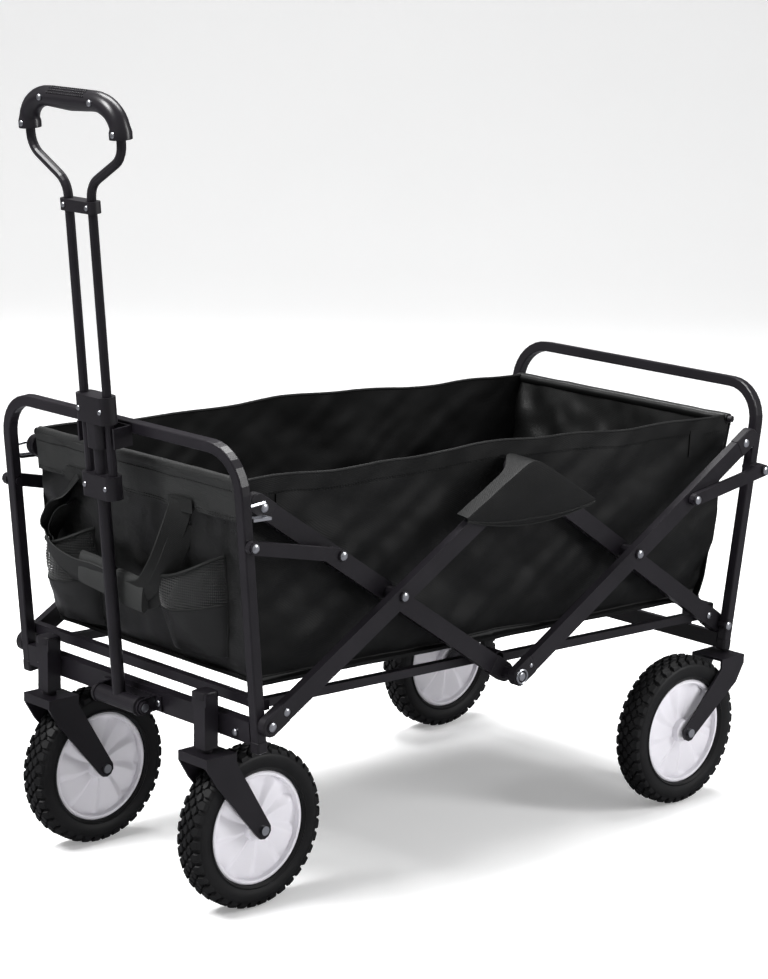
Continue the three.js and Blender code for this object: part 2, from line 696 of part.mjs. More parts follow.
// Cloth side panel, wider at the top than at the bottom.
function sidePanel() {
  const s = new THREE.Shape();
  s.moveTo(-tubWallY(TUB_BOTTOM_Z), TUB_BOTTOM_Z);
  s.lineTo(tubWallY(TUB_BOTTOM_Z), TUB_BOTTOM_Z);
  s.lineTo(tubWallY(TUB_TOP_Z), TUB_TOP_Z);
  s.lineTo(-tubWallY(TUB_TOP_Z), TUB_TOP_Z);
  return plateX(s, TUB_HALF_X - TUB_WALL, TUB_HALF_X);
}

// Cloth floor with its stiffener boards, between the four panels.
function tubFloor() {
  const reachX = TUB_HALF_X - TUB_WALL - GAP;
  const reachY = TUB_BOTTOM_Y - TUB_WALL - GAP;
  const top = TUB_BOTTOM_Z + TUB_FLOOR;
  return settle(block(-reachX, -reachY, TUB_BOTTOM_Z, reachX, reachY, top));
}

// Wire bail that ties the scissor bar's end to the leg.
function latch(side) {
  const z = 449;
  const legY = LEG_BOTTOM_Y + (z - LEG_BOTTOM_Z) * Math.tan(LEAN) - TUBE / 2;
  const wire = 1.6;
  const y1 = legY - wire * Math.SQRT2 - 2 * GAP;
  const y0 = y1 - 22;
  const x0 = HALF_WIDTH - TUBE + 1;
  const x1 = x0 + 10.5;
  const frame = cut(
    block(x0 - wire, y0 - wire, z - wire, x1 + wire, y1 + wire, z + wire),
    block(x0 + wire, y0 + wire, z - 5, x1 - wire, y1 - wire, z + 5),
  );
  return settle(side < 0 ? mirrored(frame, FLIP_Y) : frame);
}

for (const [side, name] of [[-1, "front"], [1, "rear"]]) {
  addPart(`${name}_frame`, endFrame(side), STEEL);
  addPart(`${name}_crossbar`, crossbar(side), STEEL);
  addPart(`${name}_floor_bar`, floorBar(side), STEEL);
  addPart(`${name}_latch_near`, latch(side), BRIGHT, 0.3, 0.9);
  addPart(`${name}_latch_far`, mirrored(latch(side), MIRROR), BRIGHT, 0.3, 0.9);
}
for (const [label, place] of SIDES) {
  scissorSide(label, place);
  floorRails(label, place);
}
addPart("floor_tube", floorTube(), STEEL);
wheelSet("near", 1);
wheelSet("far", -1);
addPart("handle_bracket", handleBracket(), STEEL);
addPart("handle_clip", handleClip(), STEEL);
addPart("handle_lower_tube", handleLowerTube(), STEEL);
addPart("handle_loop", handleLoop(), STEEL);
addPart("grip", grip(), PLASTIC, 0.4, 0);
handleCollars();
addPart("panel_front", endPanel(-1), FABRIC, 0.9, 0);
addPart("panel_rear", endPanel(1), FABRIC, 0.9, 0);
addPart("panel_near", settle(sidePanel()), FABRIC, 0.9, 0);
addPart("panel_far", settle(mirrored(sidePanel(), MIRROR)), FABRIC, 0.9, 0);
addPart("tub_floor", tubFloor(), FABRIC, 0.9, 0);

export default wagon;
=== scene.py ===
"""Looks for a folding wagon with a pull handle: paint, plastic, rubber, cloth, straps and small hardware."""
import json
import math

import bmesh
import bpy
from bpy.props import FloatProperty, FloatVectorProperty, IntProperty, PointerProperty
from mathutils import Matrix, Vector, noise


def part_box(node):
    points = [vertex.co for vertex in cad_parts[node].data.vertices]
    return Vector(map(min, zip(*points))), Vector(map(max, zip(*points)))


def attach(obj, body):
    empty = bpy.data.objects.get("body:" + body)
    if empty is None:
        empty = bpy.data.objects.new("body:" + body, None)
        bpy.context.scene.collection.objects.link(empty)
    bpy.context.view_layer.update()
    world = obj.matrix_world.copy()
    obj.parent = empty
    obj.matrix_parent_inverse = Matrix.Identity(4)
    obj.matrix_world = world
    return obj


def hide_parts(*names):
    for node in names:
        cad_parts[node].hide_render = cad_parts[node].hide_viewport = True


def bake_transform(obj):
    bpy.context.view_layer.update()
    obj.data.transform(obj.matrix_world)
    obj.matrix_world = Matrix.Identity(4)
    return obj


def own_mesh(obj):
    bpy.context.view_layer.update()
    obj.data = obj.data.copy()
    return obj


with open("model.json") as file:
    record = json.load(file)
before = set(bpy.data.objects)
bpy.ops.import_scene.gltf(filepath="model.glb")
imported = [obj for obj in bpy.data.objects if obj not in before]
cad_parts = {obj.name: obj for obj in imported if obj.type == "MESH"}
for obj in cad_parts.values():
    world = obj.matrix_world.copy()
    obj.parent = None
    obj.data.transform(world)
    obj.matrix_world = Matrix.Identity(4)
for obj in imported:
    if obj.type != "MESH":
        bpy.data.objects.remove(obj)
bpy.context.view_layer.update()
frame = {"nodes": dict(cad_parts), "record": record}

bl_info = {
    "name": "Folding wagon looks",
    "version": (1, 0, 0),
    "blender": (4, 5, 0),
    "location": "3D Viewport > Sidebar > Wagon",
    "description": "Builds the finishes, wheels, cloth tub, pockets, straps and hardware of a folding wagon",
    "category": "Add Mesh",
}

MM = 0.001
SIDES = {"near": 1, "far": -1}

# The frame stands nose-up by this angle, about the X axis.
STANCE = math.radians(1.75)
STANCE_SHIFT_Y, STANCE_LIFT = 16.57, 5.5
LEAN = math.radians(7)
LEG_Y = 389.4
LEG_Z = 188.0

# Scissor geometry in the frame's own upright coordinates, in millimetres.
CROSS_Y, CROSS_Z = 197.0, 339.0
TOP_JOINT_Z, HUB_Z = 462.0, 216.0
FOOT_Y, FOOT_Z = 388.0, 219.75
BAR_END_Y = 396.0
BAR_SLOPE = math.atan2(TOP_JOINT_Z - CROSS_Z, CROSS_Y)
INNER_X, OUTER_X, BAR_THICK = 191.0, 216.0, 10.0
BAR_RADIUS = 11.0
PIN_HEAD_X = OUTER_X + BAR_THICK + 2.5

# Cloth tub in the same coordinates.
TUB_X = 187.0
TUB_LOW, TUB_HIGH = 253.0, 488.0
TUB_LOW_Y, TUB_HIGH_Y = 373.0, 404.0


def upright(x, y, z):
    """World place, in metres, of a point given in the frame's upright coordinates."""
    c, s = math.cos(-STANCE), math.sin(-STANCE)
    return Vector((x, y * c - z * s + STANCE_SHIFT_Y, y * s + z * c + STANCE_LIFT)) * MM


def on_end_frame(x, out, height, side=-1):
    """World place of a point on an end frame's leaning plane. out: distance along +Y of that plane."""
    c, s = math.cos(-side * LEAN), math.sin(-side * LEAN)
    return upright(x, out * c - height * s + side * LEG_Y, out * s + height * c + LEG_Z)


def end_wall_y(z):
    """Distance of the tub's end wall from the middle at a height."""
    return TUB_LOW_Y + (z - TUB_LOW) / (TUB_HIGH - TUB_LOW) * (TUB_HIGH_Y - TUB_LOW_Y)


def wave(point, size, seed):
    """Smooth noise from -1 to 1 over a place in millimetres."""
    return noise.noise(Vector(point) / size + Vector((seed, seed * 1.7, seed * 0.3)))


# ---------------------------------------------------------------- settings


def colour_setting(name, description, default):
    """A colour in a settings group."""
    return FloatVectorProperty(
        name=name, description=description, subtype="COLOR", size=3, default=default
    )


def length_setting(name, description, default):
    """A length, in metres, in a settings group."""
    return FloatProperty(name=name, description=description, unit="LENGTH", default=default)


class SteelSettings(bpy.types.PropertyGroup):
    """Paint and hardware."""

    paint: colour_setting("Paint", "Powder coat of the tubes", (0.0075, 0.0065, 0.0085))
    zinc: colour_setting("Zinc", "Plated rivets, wires and bolts", (0.46, 0.47, 0.50))
    rivet_radius: length_setting("Rivet radius", "Domed rivet heads", 0.0052)


class WheelSettings(bpy.types.PropertyGroup):
    """Tyres and rims."""

    rubber: colour_setting("Rubber", "Tyre colour", (0.0055, 0.0055, 0.006))
    rim: colour_setting("Rim", "Rim plastic", (0.66, 0.645, 0.69))
    tread_blocks: IntProperty(name="Tread blocks", description="Blocks in one row of the tread", default=38)
    blades: IntProperty(name="Rim facets", description="Pinwheel facets on one face of the rim", default=9)


class ClothSettings(bpy.types.PropertyGroup):
    """Tub, pockets and straps."""

    cloth: colour_setting("Cloth", "Side cloth", (0.0048, 0.0050, 0.0051))
    front_cloth: colour_setting("End cloth", "End panel cloth", (0.0078, 0.0081, 0.0080))
    thickness: length_setting("Cloth thickness", "Coated weave", 0.0014)
    strap_width: length_setting("Strap width", "Carry strap webbing", 0.028)


# ---------------------------------------------------------------- meshes


SHARP_ANGLE = math.radians(38)


def keep_mesh(name, verts, faces, material, body):
    """Makes an object from world points and faces, mends its normals and puts it on a body."""
    mesh = bpy.data.meshes.new(name)
    mesh.from_pydata([tuple(v) for v in verts], [], faces)
    bm = bmesh.new()
    bm.from_mesh(mesh)
    bmesh.ops.recalc_face_normals(bm, faces=bm.faces)
    bm.to_mesh(mesh)
    bm.free()
    mesh.materials.append(material)
    mesh.shade_smooth()
    mesh.set_sharp_from_angle(angle=SHARP_ANGLE)
    made = bpy.data.objects.new(name, mesh)
    bpy.context.scene.collection.objects.link(made)
    if body:
        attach(made, body)
    return made


# A rivet head's outline: share of its radius and share of its height.
DOME_PROFILE = ((1.0, 0.25), (0.86, 0.62), (0.55, 0.9), (0.15, 1.0))
RIVET_FOOT = 0.0006

# The webbing's edge is drawn in to this share of its half width at the faces.
STRAP_EDGE = 0.94


class Solid:
    """Collects closed shapes that become one mesh."""

    def __init__(self):
        self.verts = []
        self.faces = []

    def add(self, verts, faces):
        """Takes in more points, and faces that count from the first of them."""
        start = len(self.verts)
        self.verts += [Vector(v) for v in verts]
        self.faces += [[start + i for i in face] for face in faces]

    def rings(self, rings, closed=False):
        """Skins a list of equal closed rings, with flat ends unless the list closes on itself."""
        count = len(rings[0])
        verts = [p for ring in rings for p in ring]
        faces = []
        last = len(rings) if closed else len(rings) - 1
        for i in range(last):
            a, b = i * count, ((i + 1) % len(rings)) * count
            for j in range(count):
                k = (j + 1) % count
                faces.append([a + j, a + k, b + k, b + j])
        if not closed:
            faces.append(list(range(count))[::-1])
            faces.append(list(range((len(rings) - 1) * count, len(rings) * count)))
        self.add(verts, faces)

    def shell(self, surface, columns, rows, thickness):
        """A cloth of even thickness over a surface(u, v), closed round its edges."""
        grid = [[Vector(surface(i / columns, j / rows)) for j in range(rows + 1)] for i in range(columns + 1)]
        front, back = [], []
        for i in range(columns + 1):
            for j in range(rows + 1):
                along = grid[min(i + 1, columns)][j] - grid[max(i - 1, 0)][j]
                up = grid[i][min(j + 1, rows)] - grid[i][max(j - 1, 0)]
                normal = along.cross(up).normalized() * thickness / 2
                front.append(grid[i][j] + normal)
                back.append(grid[i][j] - normal)
        n = rows + 1
        total = len(front)
        faces = []
        for i in range(columns):
            for j in range(rows):
                a, b, c, d = i * n + j, (i + 1) * n + j, (i + 1) * n + j + 1, i * n + j + 1
                faces.append([a, b, c, d])
                faces.append([total + d, total + c, total + b, total + a])
        edge = [i * n for i in range(columns)] + [columns * n + j for j in range(rows)]
        edge += [i * n + rows for i in range(columns, 0, -1)] + [j for j in range(rows, 0, -1)]
        for a, b in zip(edge, edge[1:] + edge[:1]):
            faces.append([b, a, total + a, total + b])
        self.add(front + back, faces)

    def tube(self, points, radius, sides=10, flat=1.0, flat_axis=None):
        """A round or flattened tube along world points."""
        rings = []
        for i, p in enumerate(points):
            ahead = points[min(i + 1, len(points) - 1)] - points[max(i - 1, 0)]
            ahead.normalize()
            side = (flat_axis or Vector((0, 0, 1))).copy()
            if abs(side.dot(ahead)) > 0.95:
                side = Vector((1, 0, 0))
            across = (side - ahead * side.dot(ahead)).normalized()
            other = ahead.cross(across)
            ring = []
            for k in range(sides):
                a = 2 * math.pi * k / sides
                ring.append(p + across * math.cos(a) * radius * flat + other * math.sin(a) * radius)
            rings.append(ring)
        self.rings(rings)

    def dome(self, place, axis, radius, height, sides=14):
        """A domed rivet head standing on a face, with its foot sunk a little into it."""
        axis = Vector(axis).normalized()
        across = axis.orthogonal().normalized()
        other = axis.cross(across)
        profile = [(1.0, -RIVET_FOOT)]
        profile += [(share, rise * height) for share, rise in DOME_PROFILE]
        rings = []
        for share, rise in profile:
            ring = []
            for k in range(sides):
                a = 2 * math.pi * k / sides
                out = across * math.cos(a) + other * math.sin(a)
                ring.append(place + axis * rise + out * radius * share)
            rings.append(ring)
        self.rings(rings)

    def ring(self, place, axis, radius, section, sides=24, around=8):
        """A round ring, such as an eyelet."""
        axis = Vector(axis).normalized()
        across = axis.orthogonal().normalized()
        other = axis.cross(across)
        rings = []
        for i in range(sides):
            a = 2 * math.pi * i / sides
            out = across * math.cos(a) + other * math.sin(a)
            rings.append([
                place + out * (radius + section * math.cos(2 * math.pi * k / around))
                + axis * section * math.sin(2 * math.pi * k / around)
                for k in range(around)
            ])
        self.rings(rings, closed=True)

    def strap(self, points, across, width, thickness):
        """Flat webbing along world points. across: its width direction at each point."""
        rings = []
        for i, p in enumerate(points):
            ahead = (points[min(i + 1, len(points) - 1)] - points[max(i - 1, 0)]).normalized()
            side = across[i] if isinstance(across, list) else across
            side = (side - ahead * side.dot(ahead)).normalized() * width / 2
            up = ahead.cross(side).normalized() * thickness / 2
            face = side * STRAP_EDGE
            rings.append([p + face + up, p + side, p + face - up, p - face - up, p - side, p - face + up])
        self.rings(rings)

    def finish(self, name, material, body):
        """Makes the mesh with a finish, on a body."""
        return keep_mesh(name, self.verts, self.faces, finish_named(material), body)


def smooth_run(points, steps):
    """Smooth run through a few set points, with steps between each pair."""
    out = []
    for i in range(len(points) - 1):
        p0 = points[max(i - 1, 0)]
        p1, p2 = points[i], points[i + 1]
        p3 = points[min(i + 2, len(points) - 1)]
        for k in range(steps):
            t = k / steps
            a = 2 * p1
            b = p2 - p0
            c = 2 * p0 - 5 * p1 + 4 * p2 - p3
            d = -p0 + 3 * p1 - 3 * p2 + p3
            out.append((a + b * t + c * t * t + d * t * t * t) / 2)
    out.append(points[-1].copy())
    return out


# ---------------------------------------------------------------- shader groups


def new_group(name, inputs, outputs):
    """An empty shader group with its sockets. inputs and outputs: (name, socket type, default)."""
    tree = bpy.data.node_groups.new(name, "ShaderNodeTree")
    for label, kind, value in inputs:
        socket = tree.interface.new_socket(label, in_out="INPUT", socket_type=kind)
        socket.default_value = value
    for label, kind in outputs:
        tree.interface.new_socket(label, in_out="OUTPUT", socket_type=kind)
    return tree, tree.nodes.new("NodeGroupInput"), tree.nodes.new("NodeGroupOutput")


def math_node(tree, operation, a, b=None):
    """A Math node fed by sockets or numbers; returns its output."""
    node = tree.nodes.new("ShaderNodeMath")
    node.operation = operation
    for i, value in enumerate((a, b)):
        if value is None:
            continue
        if isinstance(value, (int, float)):
            node.inputs[i].default_value = value
        else:
            tree.links.new(value, node.inputs[i])
    return node.outputs[0]


def raised(tree, value, factor, base):
    """value times factor, plus base."""
    return math_node(tree, "ADD", math_node(tree, "MULTIPLY", value, factor), base)


def colour_mix(tree, blend_type="MIX"):
    """A colour Mix node and its factor, first, second and result sockets."""
    node = tree.nodes.new("ShaderNodeMix")
    node.data_type = "RGBA"
    node.blend_type = blend_type
    first, second = [socket for socket in node.inputs if socket.type == "RGBA"]
    result = [socket for socket in node.outputs if socket.type == "RGBA"][0]
    return node.inputs["Factor"], first, second, result


def object_place(tree):
    """Separated object coordinates."""
    place = tree.nodes.new("ShaderNodeTexCoord")
    split = tree.nodes.new("ShaderNodeSeparateXYZ")
    tree.links.new(place.outputs["Object"], split.inputs[0])
    return place.outputs["Object"], split.outputs


def noise_value(tree, place, scale, detail=3.0):
    """Noise at a place; the scale is a socket or a number."""
    node = tree.nodes.new("ShaderNodeTexNoise")
    node.inputs["Detail"].default_value = detail
    tree.links.new(place, node.inputs["Vector"])
    if isinstance(scale, (int, float)):
        node.inputs["Scale"].default_value = scale
    else:
        tree.links.new(scale, node.inputs["Scale"])
    return node.outputs[0]


def build_mottle_group():
    """Two close colours mixed by cloudy noise, with a matching value for roughness."""
    tree, given, out = new_group(
        "Mottled colour",
        [
            ("Colour", "NodeSocketColor", (0.1, 0.1, 0.1, 1)),
            ("Second colour", "NodeSocketColor", (0.2, 0.2, 0.2, 1)),
            ("Scale", "NodeSocketFloat", 12.0),
            ("Low", "NodeSocketFloat", 0.3),
            ("High", "NodeSocketFloat", 0.5),
        ],
        [("Colour", "NodeSocketColor"), ("Value", "NodeSocketFloat")],
    )
    place, _ = object_place(tree)
    cloud = noise_value(tree, place, given.outputs["Scale"], 5.0)
    factor, first, second, mixed = colour_mix(tree)
    spread = tree.nodes.new("ShaderNodeMapRange")
    spread.inputs["From Min"].default_value = 0.32
    spread.inputs["From Max"].default_value = 0.68
    tree.links.new(cloud, spread.inputs["Value"])
    tree.links.new(spread.outputs[0], factor)
    tree.links.new(given.outputs["Colour"], first)
    tree.links.new(given.outputs["Second colour"], second)
    value = tree.nodes.new("ShaderNodeMapRange")
    tree.links.new(cloud, value.inputs["Value"])
    tree.links.new(given.outputs["Low"], value.inputs["To Min"])
    tree.links.new(given.outputs["High"], value.inputs["To Max"])
    tree.links.new(mixed, out.inputs["Colour"])
    tree.links.new(value.outputs[0], out.inputs["Value"])
    return tree


def build_grain_group():
    """Orange-peel grain of paint and moulded plastic, as a height."""
    tree, given, out = new_group(
        "Fine grain", [("Scale", "NodeSocketFloat", 700.0)], [("Height", "NodeSocketFloat")]
    )
    place, _ = object_place(tree)
    tree.links.new(noise_value(tree, place, given.outputs["Scale"], 2.0), out.inputs["Height"])
    return tree


def build_weave_group():
    """Plain weave over cloth that faces any way: thread height and a shade that follows it."""
    tree, given, out = new_group(
        "Plain weave",
        [("Threads", "NodeSocketFloat", 2600.0)],
        [("Height", "NodeSocketFloat"), ("Shade", "NodeSocketFloat")],
    )
    _, axes = object_place(tree)
    x, y, z = axes[0], axes[1], axes[2]
    warp = math_node(tree, "MULTIPLY", math_node(tree, "ADD", x, y), given.outputs["Threads"])
    lean = math_node(tree, "MULTIPLY", math_node(tree, "SUBTRACT", x, y), 0.5)
    weft = math_node(tree, "MULTIPLY", math_node(tree, "ADD", z, lean), given.outputs["Threads"])
    cross = math_node(tree, "MULTIPLY", math_node(tree, "SINE", warp), math_node(tree, "SINE", weft))
    height = raised(tree, cross, 0.5, 0.5)
    tree.links.new(height, out.inputs["Height"])
    tree.links.new(raised(tree, height, 0.5, 0.6), out.inputs["Shade"])
    return tree


def build_net_group():
    """Open net: a mask that is 1 on the threads and 0 in the holes."""
    tree, given, out = new_group(
        "Open net",
        [("Pitch", "NodeSocketFloat", 900.0)],
        [("Mask", "NodeSocketFloat"), ("Height", "NodeSocketFloat")],
    )
    _, axes = object_place(tree)
    x, y, z = axes[0], axes[1], axes[2]
    flat = math_node(tree, "ADD", x, y)
    one = math_node(tree, "MULTIPLY", math_node(tree, "ADD", flat, z), given.outputs["Pitch"])
    two = math_node(tree, "MULTIPLY", math_node(tree, "SUBTRACT", flat, z), given.outputs["Pitch"])
    cross = math_node(tree, "MULTIPLY", math_node(tree, "SINE", one), math_node(tree, "SINE", two))
    tree.links.new(math_node(tree, "LESS_THAN", cross, 0.12), out.inputs["Mask"])
    tree.links.new(math_node(tree, "SUBTRACT", 1.0, cross), out.inputs["Height"])
    return tree


def build_rib_group():
    """Ribs across webbing, as a height and a shade."""
    tree, given, out = new_group(
        "Webbing ribs",
        [("Ribs", "NodeSocketFloat", 1900.0)],
        [("Height", "NodeSocketFloat"), ("Shade", "NodeSocketFloat")],
    )
    _, axes = object_place(tree)
    slant = math_node(tree, "ADD", axes[2], math_node(tree, "ADD", axes[0], axes[1]))
    run = math_node(tree, "MULTIPLY", slant, given.outputs["Ribs"])
    height = raised(tree, math_node(tree, "SINE", run), 0.5, 0.5)
    tree.links.new(height, out.inputs["Height"])
    tree.links.new(raised(tree, height, 0.6, 0.55), out.inputs["Shade"])
    return tree


GROUPS = {
    "mottle": build_mottle_group,
    "grain": build_grain_group,
    "weave": build_weave_group,
    "net": build_net_group,
    "ribs": build_rib_group,
}
BUILT_GROUPS = {}


def group_node(tree, key, **values):
    """Places a shared shader group in a material with its own values."""
    if key not in BUILT_GROUPS:
        BUILT_GROUPS[key] = GROUPS[key]()
    node = tree.nodes.new("ShaderNodeGroup")
    node.node_tree = BUILT_GROUPS[key]
    for label, value in values.items():
        node.inputs[label.replace("_", " ")].default_value = value
    return node


def new_material(name, metallic=0.0, coat=0.0, coat_rough=0.1, sheen=0.0, specular=0.5):
    """A material holding a Principled BSDF with its plain values set."""
    made = bpy.data.materials.new(name)
    made.use_nodes = True
    shader = made.node_tree.nodes["Principled BSDF"]
    shader.inputs["Metallic"].default_value = metallic
    shader.inputs["Coat Weight"].default_value = coat
    shader.inputs["Coat Roughness"].default_value = coat_rough
    shader.inputs["Sheen Weight"].default_value = sheen
    shader.inputs["Sheen Roughness"].default_value = 0.4
    shader.inputs["Specular IOR Level"].default_value = specular
    return made, made.node_tree, shader


def add_bump(tree, shader, height, strength, distance):
    """Lets a height roughen a shader's normal."""
    bump = tree.nodes.new("ShaderNodeBump")
    bump.inputs["Strength"].default_value = strength
    bump.inputs["Distance"].default_value = distance
    tree.links.new(height, bump.inputs["Height"])
    tree.links.new(bump.outputs[0], shader.inputs["Normal"])


def lighter(colour, factor):
    """A colour times a factor, with full alpha."""
    return tuple(min(1.0, c * factor) for c in colour[:3]) + (1.0,)


def hard_finish(name, colour, second, low, high, grain, strength, mottle_scale=14.0, **plain):
    """Paint, moulded plastic, plated wire or rubber: mottled colour and roughness over a fine grain."""
    made, tree, shader = new_material(name, **plain)
    mottle = group_node(tree, "mottle", Colour=lighter(colour, 1.0), Second_colour=lighter(colour, second),
                        Scale=mottle_scale, Low=low, High=high)
    tree.links.new(mottle.outputs["Colour"], shader.inputs["Base Color"])
    tree.links.new(mottle.outputs["Value"], shader.inputs["Roughness"])
    add_bump(tree, shader, group_node(tree, "grain", Scale=grain).outputs["Height"], strength, 0.0004)
    return made


def cloth_finish(name, colour, rough=(0.44, 0.6), key="weave", strength=0.35, specular=0.16, **values):
    """Coated cloth or webbing: thread relief, thread shade and cloudy dye."""
    made, tree, shader = new_material(name, specular=specular)
    mottle = group_node(tree, "mottle", Colour=lighter(colour, 0.85), Second_colour=lighter(colour, 1.25),
                        Scale=9.0, Low=rough[0], High=rough[1])
    threads = group_node(tree, key, **values)
    factor, dye, shade, shaded = colour_mix(tree, "MULTIPLY")
    factor.default_value = 0.8
    grey = tree.nodes.new("ShaderNodeCombineColor")
    for i in range(3):
        tree.links.new(threads.outputs["Shade"], grey.inputs[i])
    tree.links.new(mottle.outputs["Colour"], dye)
    tree.links.new(grey.outputs[0], shade)
    tree.links.new(shaded, shader.inputs["Base Color"])
    tree.links.new(mottle.outputs["Value"], shader.inputs["Roughness"])
    add_bump(tree, shader, threads.outputs["Height"], strength, 0.0005)
    return made


def net_finish(name, colour):
    """Black pocket net with real holes."""
    made, tree, shader = new_material(name, sheen=0.2)
    net = group_node(tree, "net", Pitch=980.0)
    mottle = group_node(tree, "mottle", Colour=lighter(colour, 0.8), Second_colour=lighter(colour, 1.5),
                        Scale=40.0, Low=0.5, High=0.7)
    tree.links.new(mottle.outputs["Colour"], shader.inputs["Base Color"])
    tree.links.new(mottle.outputs["Value"], shader.inputs["Roughness"])
    tree.links.new(net.outputs["Mask"], shader.inputs["Alpha"])
    add_bump(tree, shader, net.outputs["Height"], 0.3, 0.0005)
    return made


# Each hard finish: settings group, colour, material, second colour's factor, low and high roughness,
# grain scale, grain strength, and the shader's plain values.
HARD_FINISHES = {
    "paint": ("steel", "paint", "powder_coat", 1.5, 0.24, 0.38, 1100.0, 0.10, {"specular": 0.3}),
    "plastic": ("steel", "paint", "moulded_black", 1.3, 0.34, 0.48, 1500.0, 0.12, {"specular": 0.3}),
    "gloss": ("steel", "paint", "grip_gloss", 1.3, 0.24, 0.34, 900.0, 0.05, {"specular": 0.4}),
    "zinc": ("steel", "zinc", "plated_zinc", 1.15, 0.2, 0.36, 1400.0, 0.08, {"metallic": 1.0}),
    "rubber": ("wheels", "rubber", "tyre_rubber", 1.5, 0.4, 0.6, 900.0, 0.2,
               {"mottle_scale": 30.0, "specular": 0.22}),
    "rim": ("wheels", "rim", "rim_white", 1.04, 0.32, 0.46, 500.0, 0.06, {"coat": 0.15, "coat_rough": 0.3}),
}

# Each cloth finish: colour, material, the colour's factor, and the values of its threads or ribs.
CLOTH_FINISHES = {
    "cloth": ("cloth", "side_cloth", 1.0, {"Threads": 2700.0}),
    "end_cloth": ("front_cloth", "end_cloth", 0.72,
                  {"rough": (0.22, 0.40), "specular": 0.5, "Threads": 2700.0}),
    "inner_cloth": ("cloth", "inner_cloth", 1.0, {"rough": (0.65, 0.8), "Threads": 2300.0}),
    # The front hem's finish is the end cloth made 2.8 times lighter: painted light on the hem sleeve and
    # band, which are the same cloth as the rear hem's.
    "hem_cloth": ("front_cloth", "hem_cloth", 2.8, {"specular": 0.35, "Threads": 2700.0}),
    "piping": ("front_cloth", "hem_piping", 1.6, {"key": "ribs", "Ribs": 4200.0}),
    "webbing": ("front_cloth", "strap_webbing", 1.5,
                {"key": "ribs", "strength": 0.5, "specular": 0.3, "Ribs": 2600.0}),
    "wrap": ("front_cloth", "wrap_cloth", 3.2,
             {"key": "ribs", "strength": 0.5, "specular": 0.3, "Ribs": 2600.0}),
}
NET_FACTOR = 2.0
FINISHES = {}


def make_finish(key):
    """A new material for one of the wagon's finishes."""
    scene = bpy.context.scene
    if key in HARD_FINISHES:
        group, colour, name, second, low, high, grain, strength, plain = HARD_FINISHES[key]
        colour = getattr(getattr(scene, f"wagon_{group}"), colour)
        return hard_finish(name, colour, second, low, high, grain, strength, **plain)
    if key in CLOTH_FINISHES:
        colour, name, factor, values = CLOTH_FINISHES[key]
        return cloth_finish(name, lighter(getattr(scene.wagon_cloth, colour), factor), **values)
    return net_finish("pocket_net", lighter(scene.wagon_cloth.front_cloth, NET_FACTOR))


def finish_named(key):
    """One of the wagon's finishes, made the first time it is asked for."""
    if key not in FINISHES:
        FINISHES[key] = make_finish(key)
    return FINISHES[key]


# ---------------------------------------------------------------- steel and hardware

NODE_FINISH = {"steel": "paint", "bright": "zinc", "plastic": "plastic"}
BARS = {
    "bars_a": ((-BAR_END_Y, 1), (0.0, -1), INNER_X),
    "bars_b": ((-FOOT_Y, -1), (0.0, 1), OUTER_X),
    "bars_c": ((BAR_END_Y, 1), (0.0, -1), OUTER_X),
    "bars_d": ((FOOT_Y, -1), (0.0, 1), INNER_X),
}


# How far an end cap stands off the bar's faces, and how far in from the pivots the rivets sit.
CAP_LIFT = 0.8
TOP_RIVET_INSET, SECOND_RIVET_INSET = 9.0, 21.0
HUB_SCREW_Y = 16.0
MOULDED_COLLARS = ("lock_collar", "slider_collar", "neck_collar")


def bar_height(y, end):
    """Height of a scissor bar at y. end: 1 where the bar climbs away from the middle, -1 where it falls."""
    climb = (abs(y) - CROSS_Y) / CROSS_Y * (TOP_JOINT_Z - CROSS_Z)
    return CROSS_Z + (climb if end > 0 else -climb)


def bar_end_place(y, rise):
    """(y, z) of a bar's end pivot."""
    if y == 0.0:
        return (0.0, TOP_JOINT_Z if rise > 0 else HUB_Z)
    return (y, bar_height(y, rise))


def add_end_cap(solid, x0, x1, start, direction):
    """Moulded cap slid over a bar's end: a slab with a half-round nose and a bevelled rim."""
    length = 24.0
    radius = BAR_RADIUS + 0.9
    edge = 1.0
    dy, dz = direction
    outline = []
    for k in range(13):
        a = math.pi * k / 12 - math.pi / 2
        outline.append((math.cos(a), math.sin(a), 0.0))
    outline.append((0.0, 1.0, -length))
    outline.append((0.0, -1.0, -length))

    def place(x, shrink):
        ring = []
        for along, side, back in outline:
            u = along * (radius - shrink) + back + (shrink if back else 0.0)
            v = side * (radius - shrink)
            ring.append(upright(x, start[0] + dy * u - dz * v, start[1] + dz * u + dy * v))
        return ring

    solid.rings([place(x0, edge), place(x0 + edge, 0.0), place(x1 - edge, 0.0), place(x1, edge)])


class WAGON_OT_steel(bpy.types.Operator):
    """Powder coat, plated wire and moulded plastic on the frame's own parts"""

    bl_idname = "wagon.steel"
    bl_label = "Frame finishes"

    def execute(self, context):
        slots = {row["node"]: row["material_slot"] for row in frame["record"]["subparts"]}
        for node, part in frame["nodes"].items():
            key = NODE_FINISH.get(slots[node])
            if key is None:
                continue
            if node in MOULDED_COLLARS:
                key = "plastic"
            part.data.materials.clear()
            part.data.materials.append(finish_named(key))
        return {"FINISHED"}


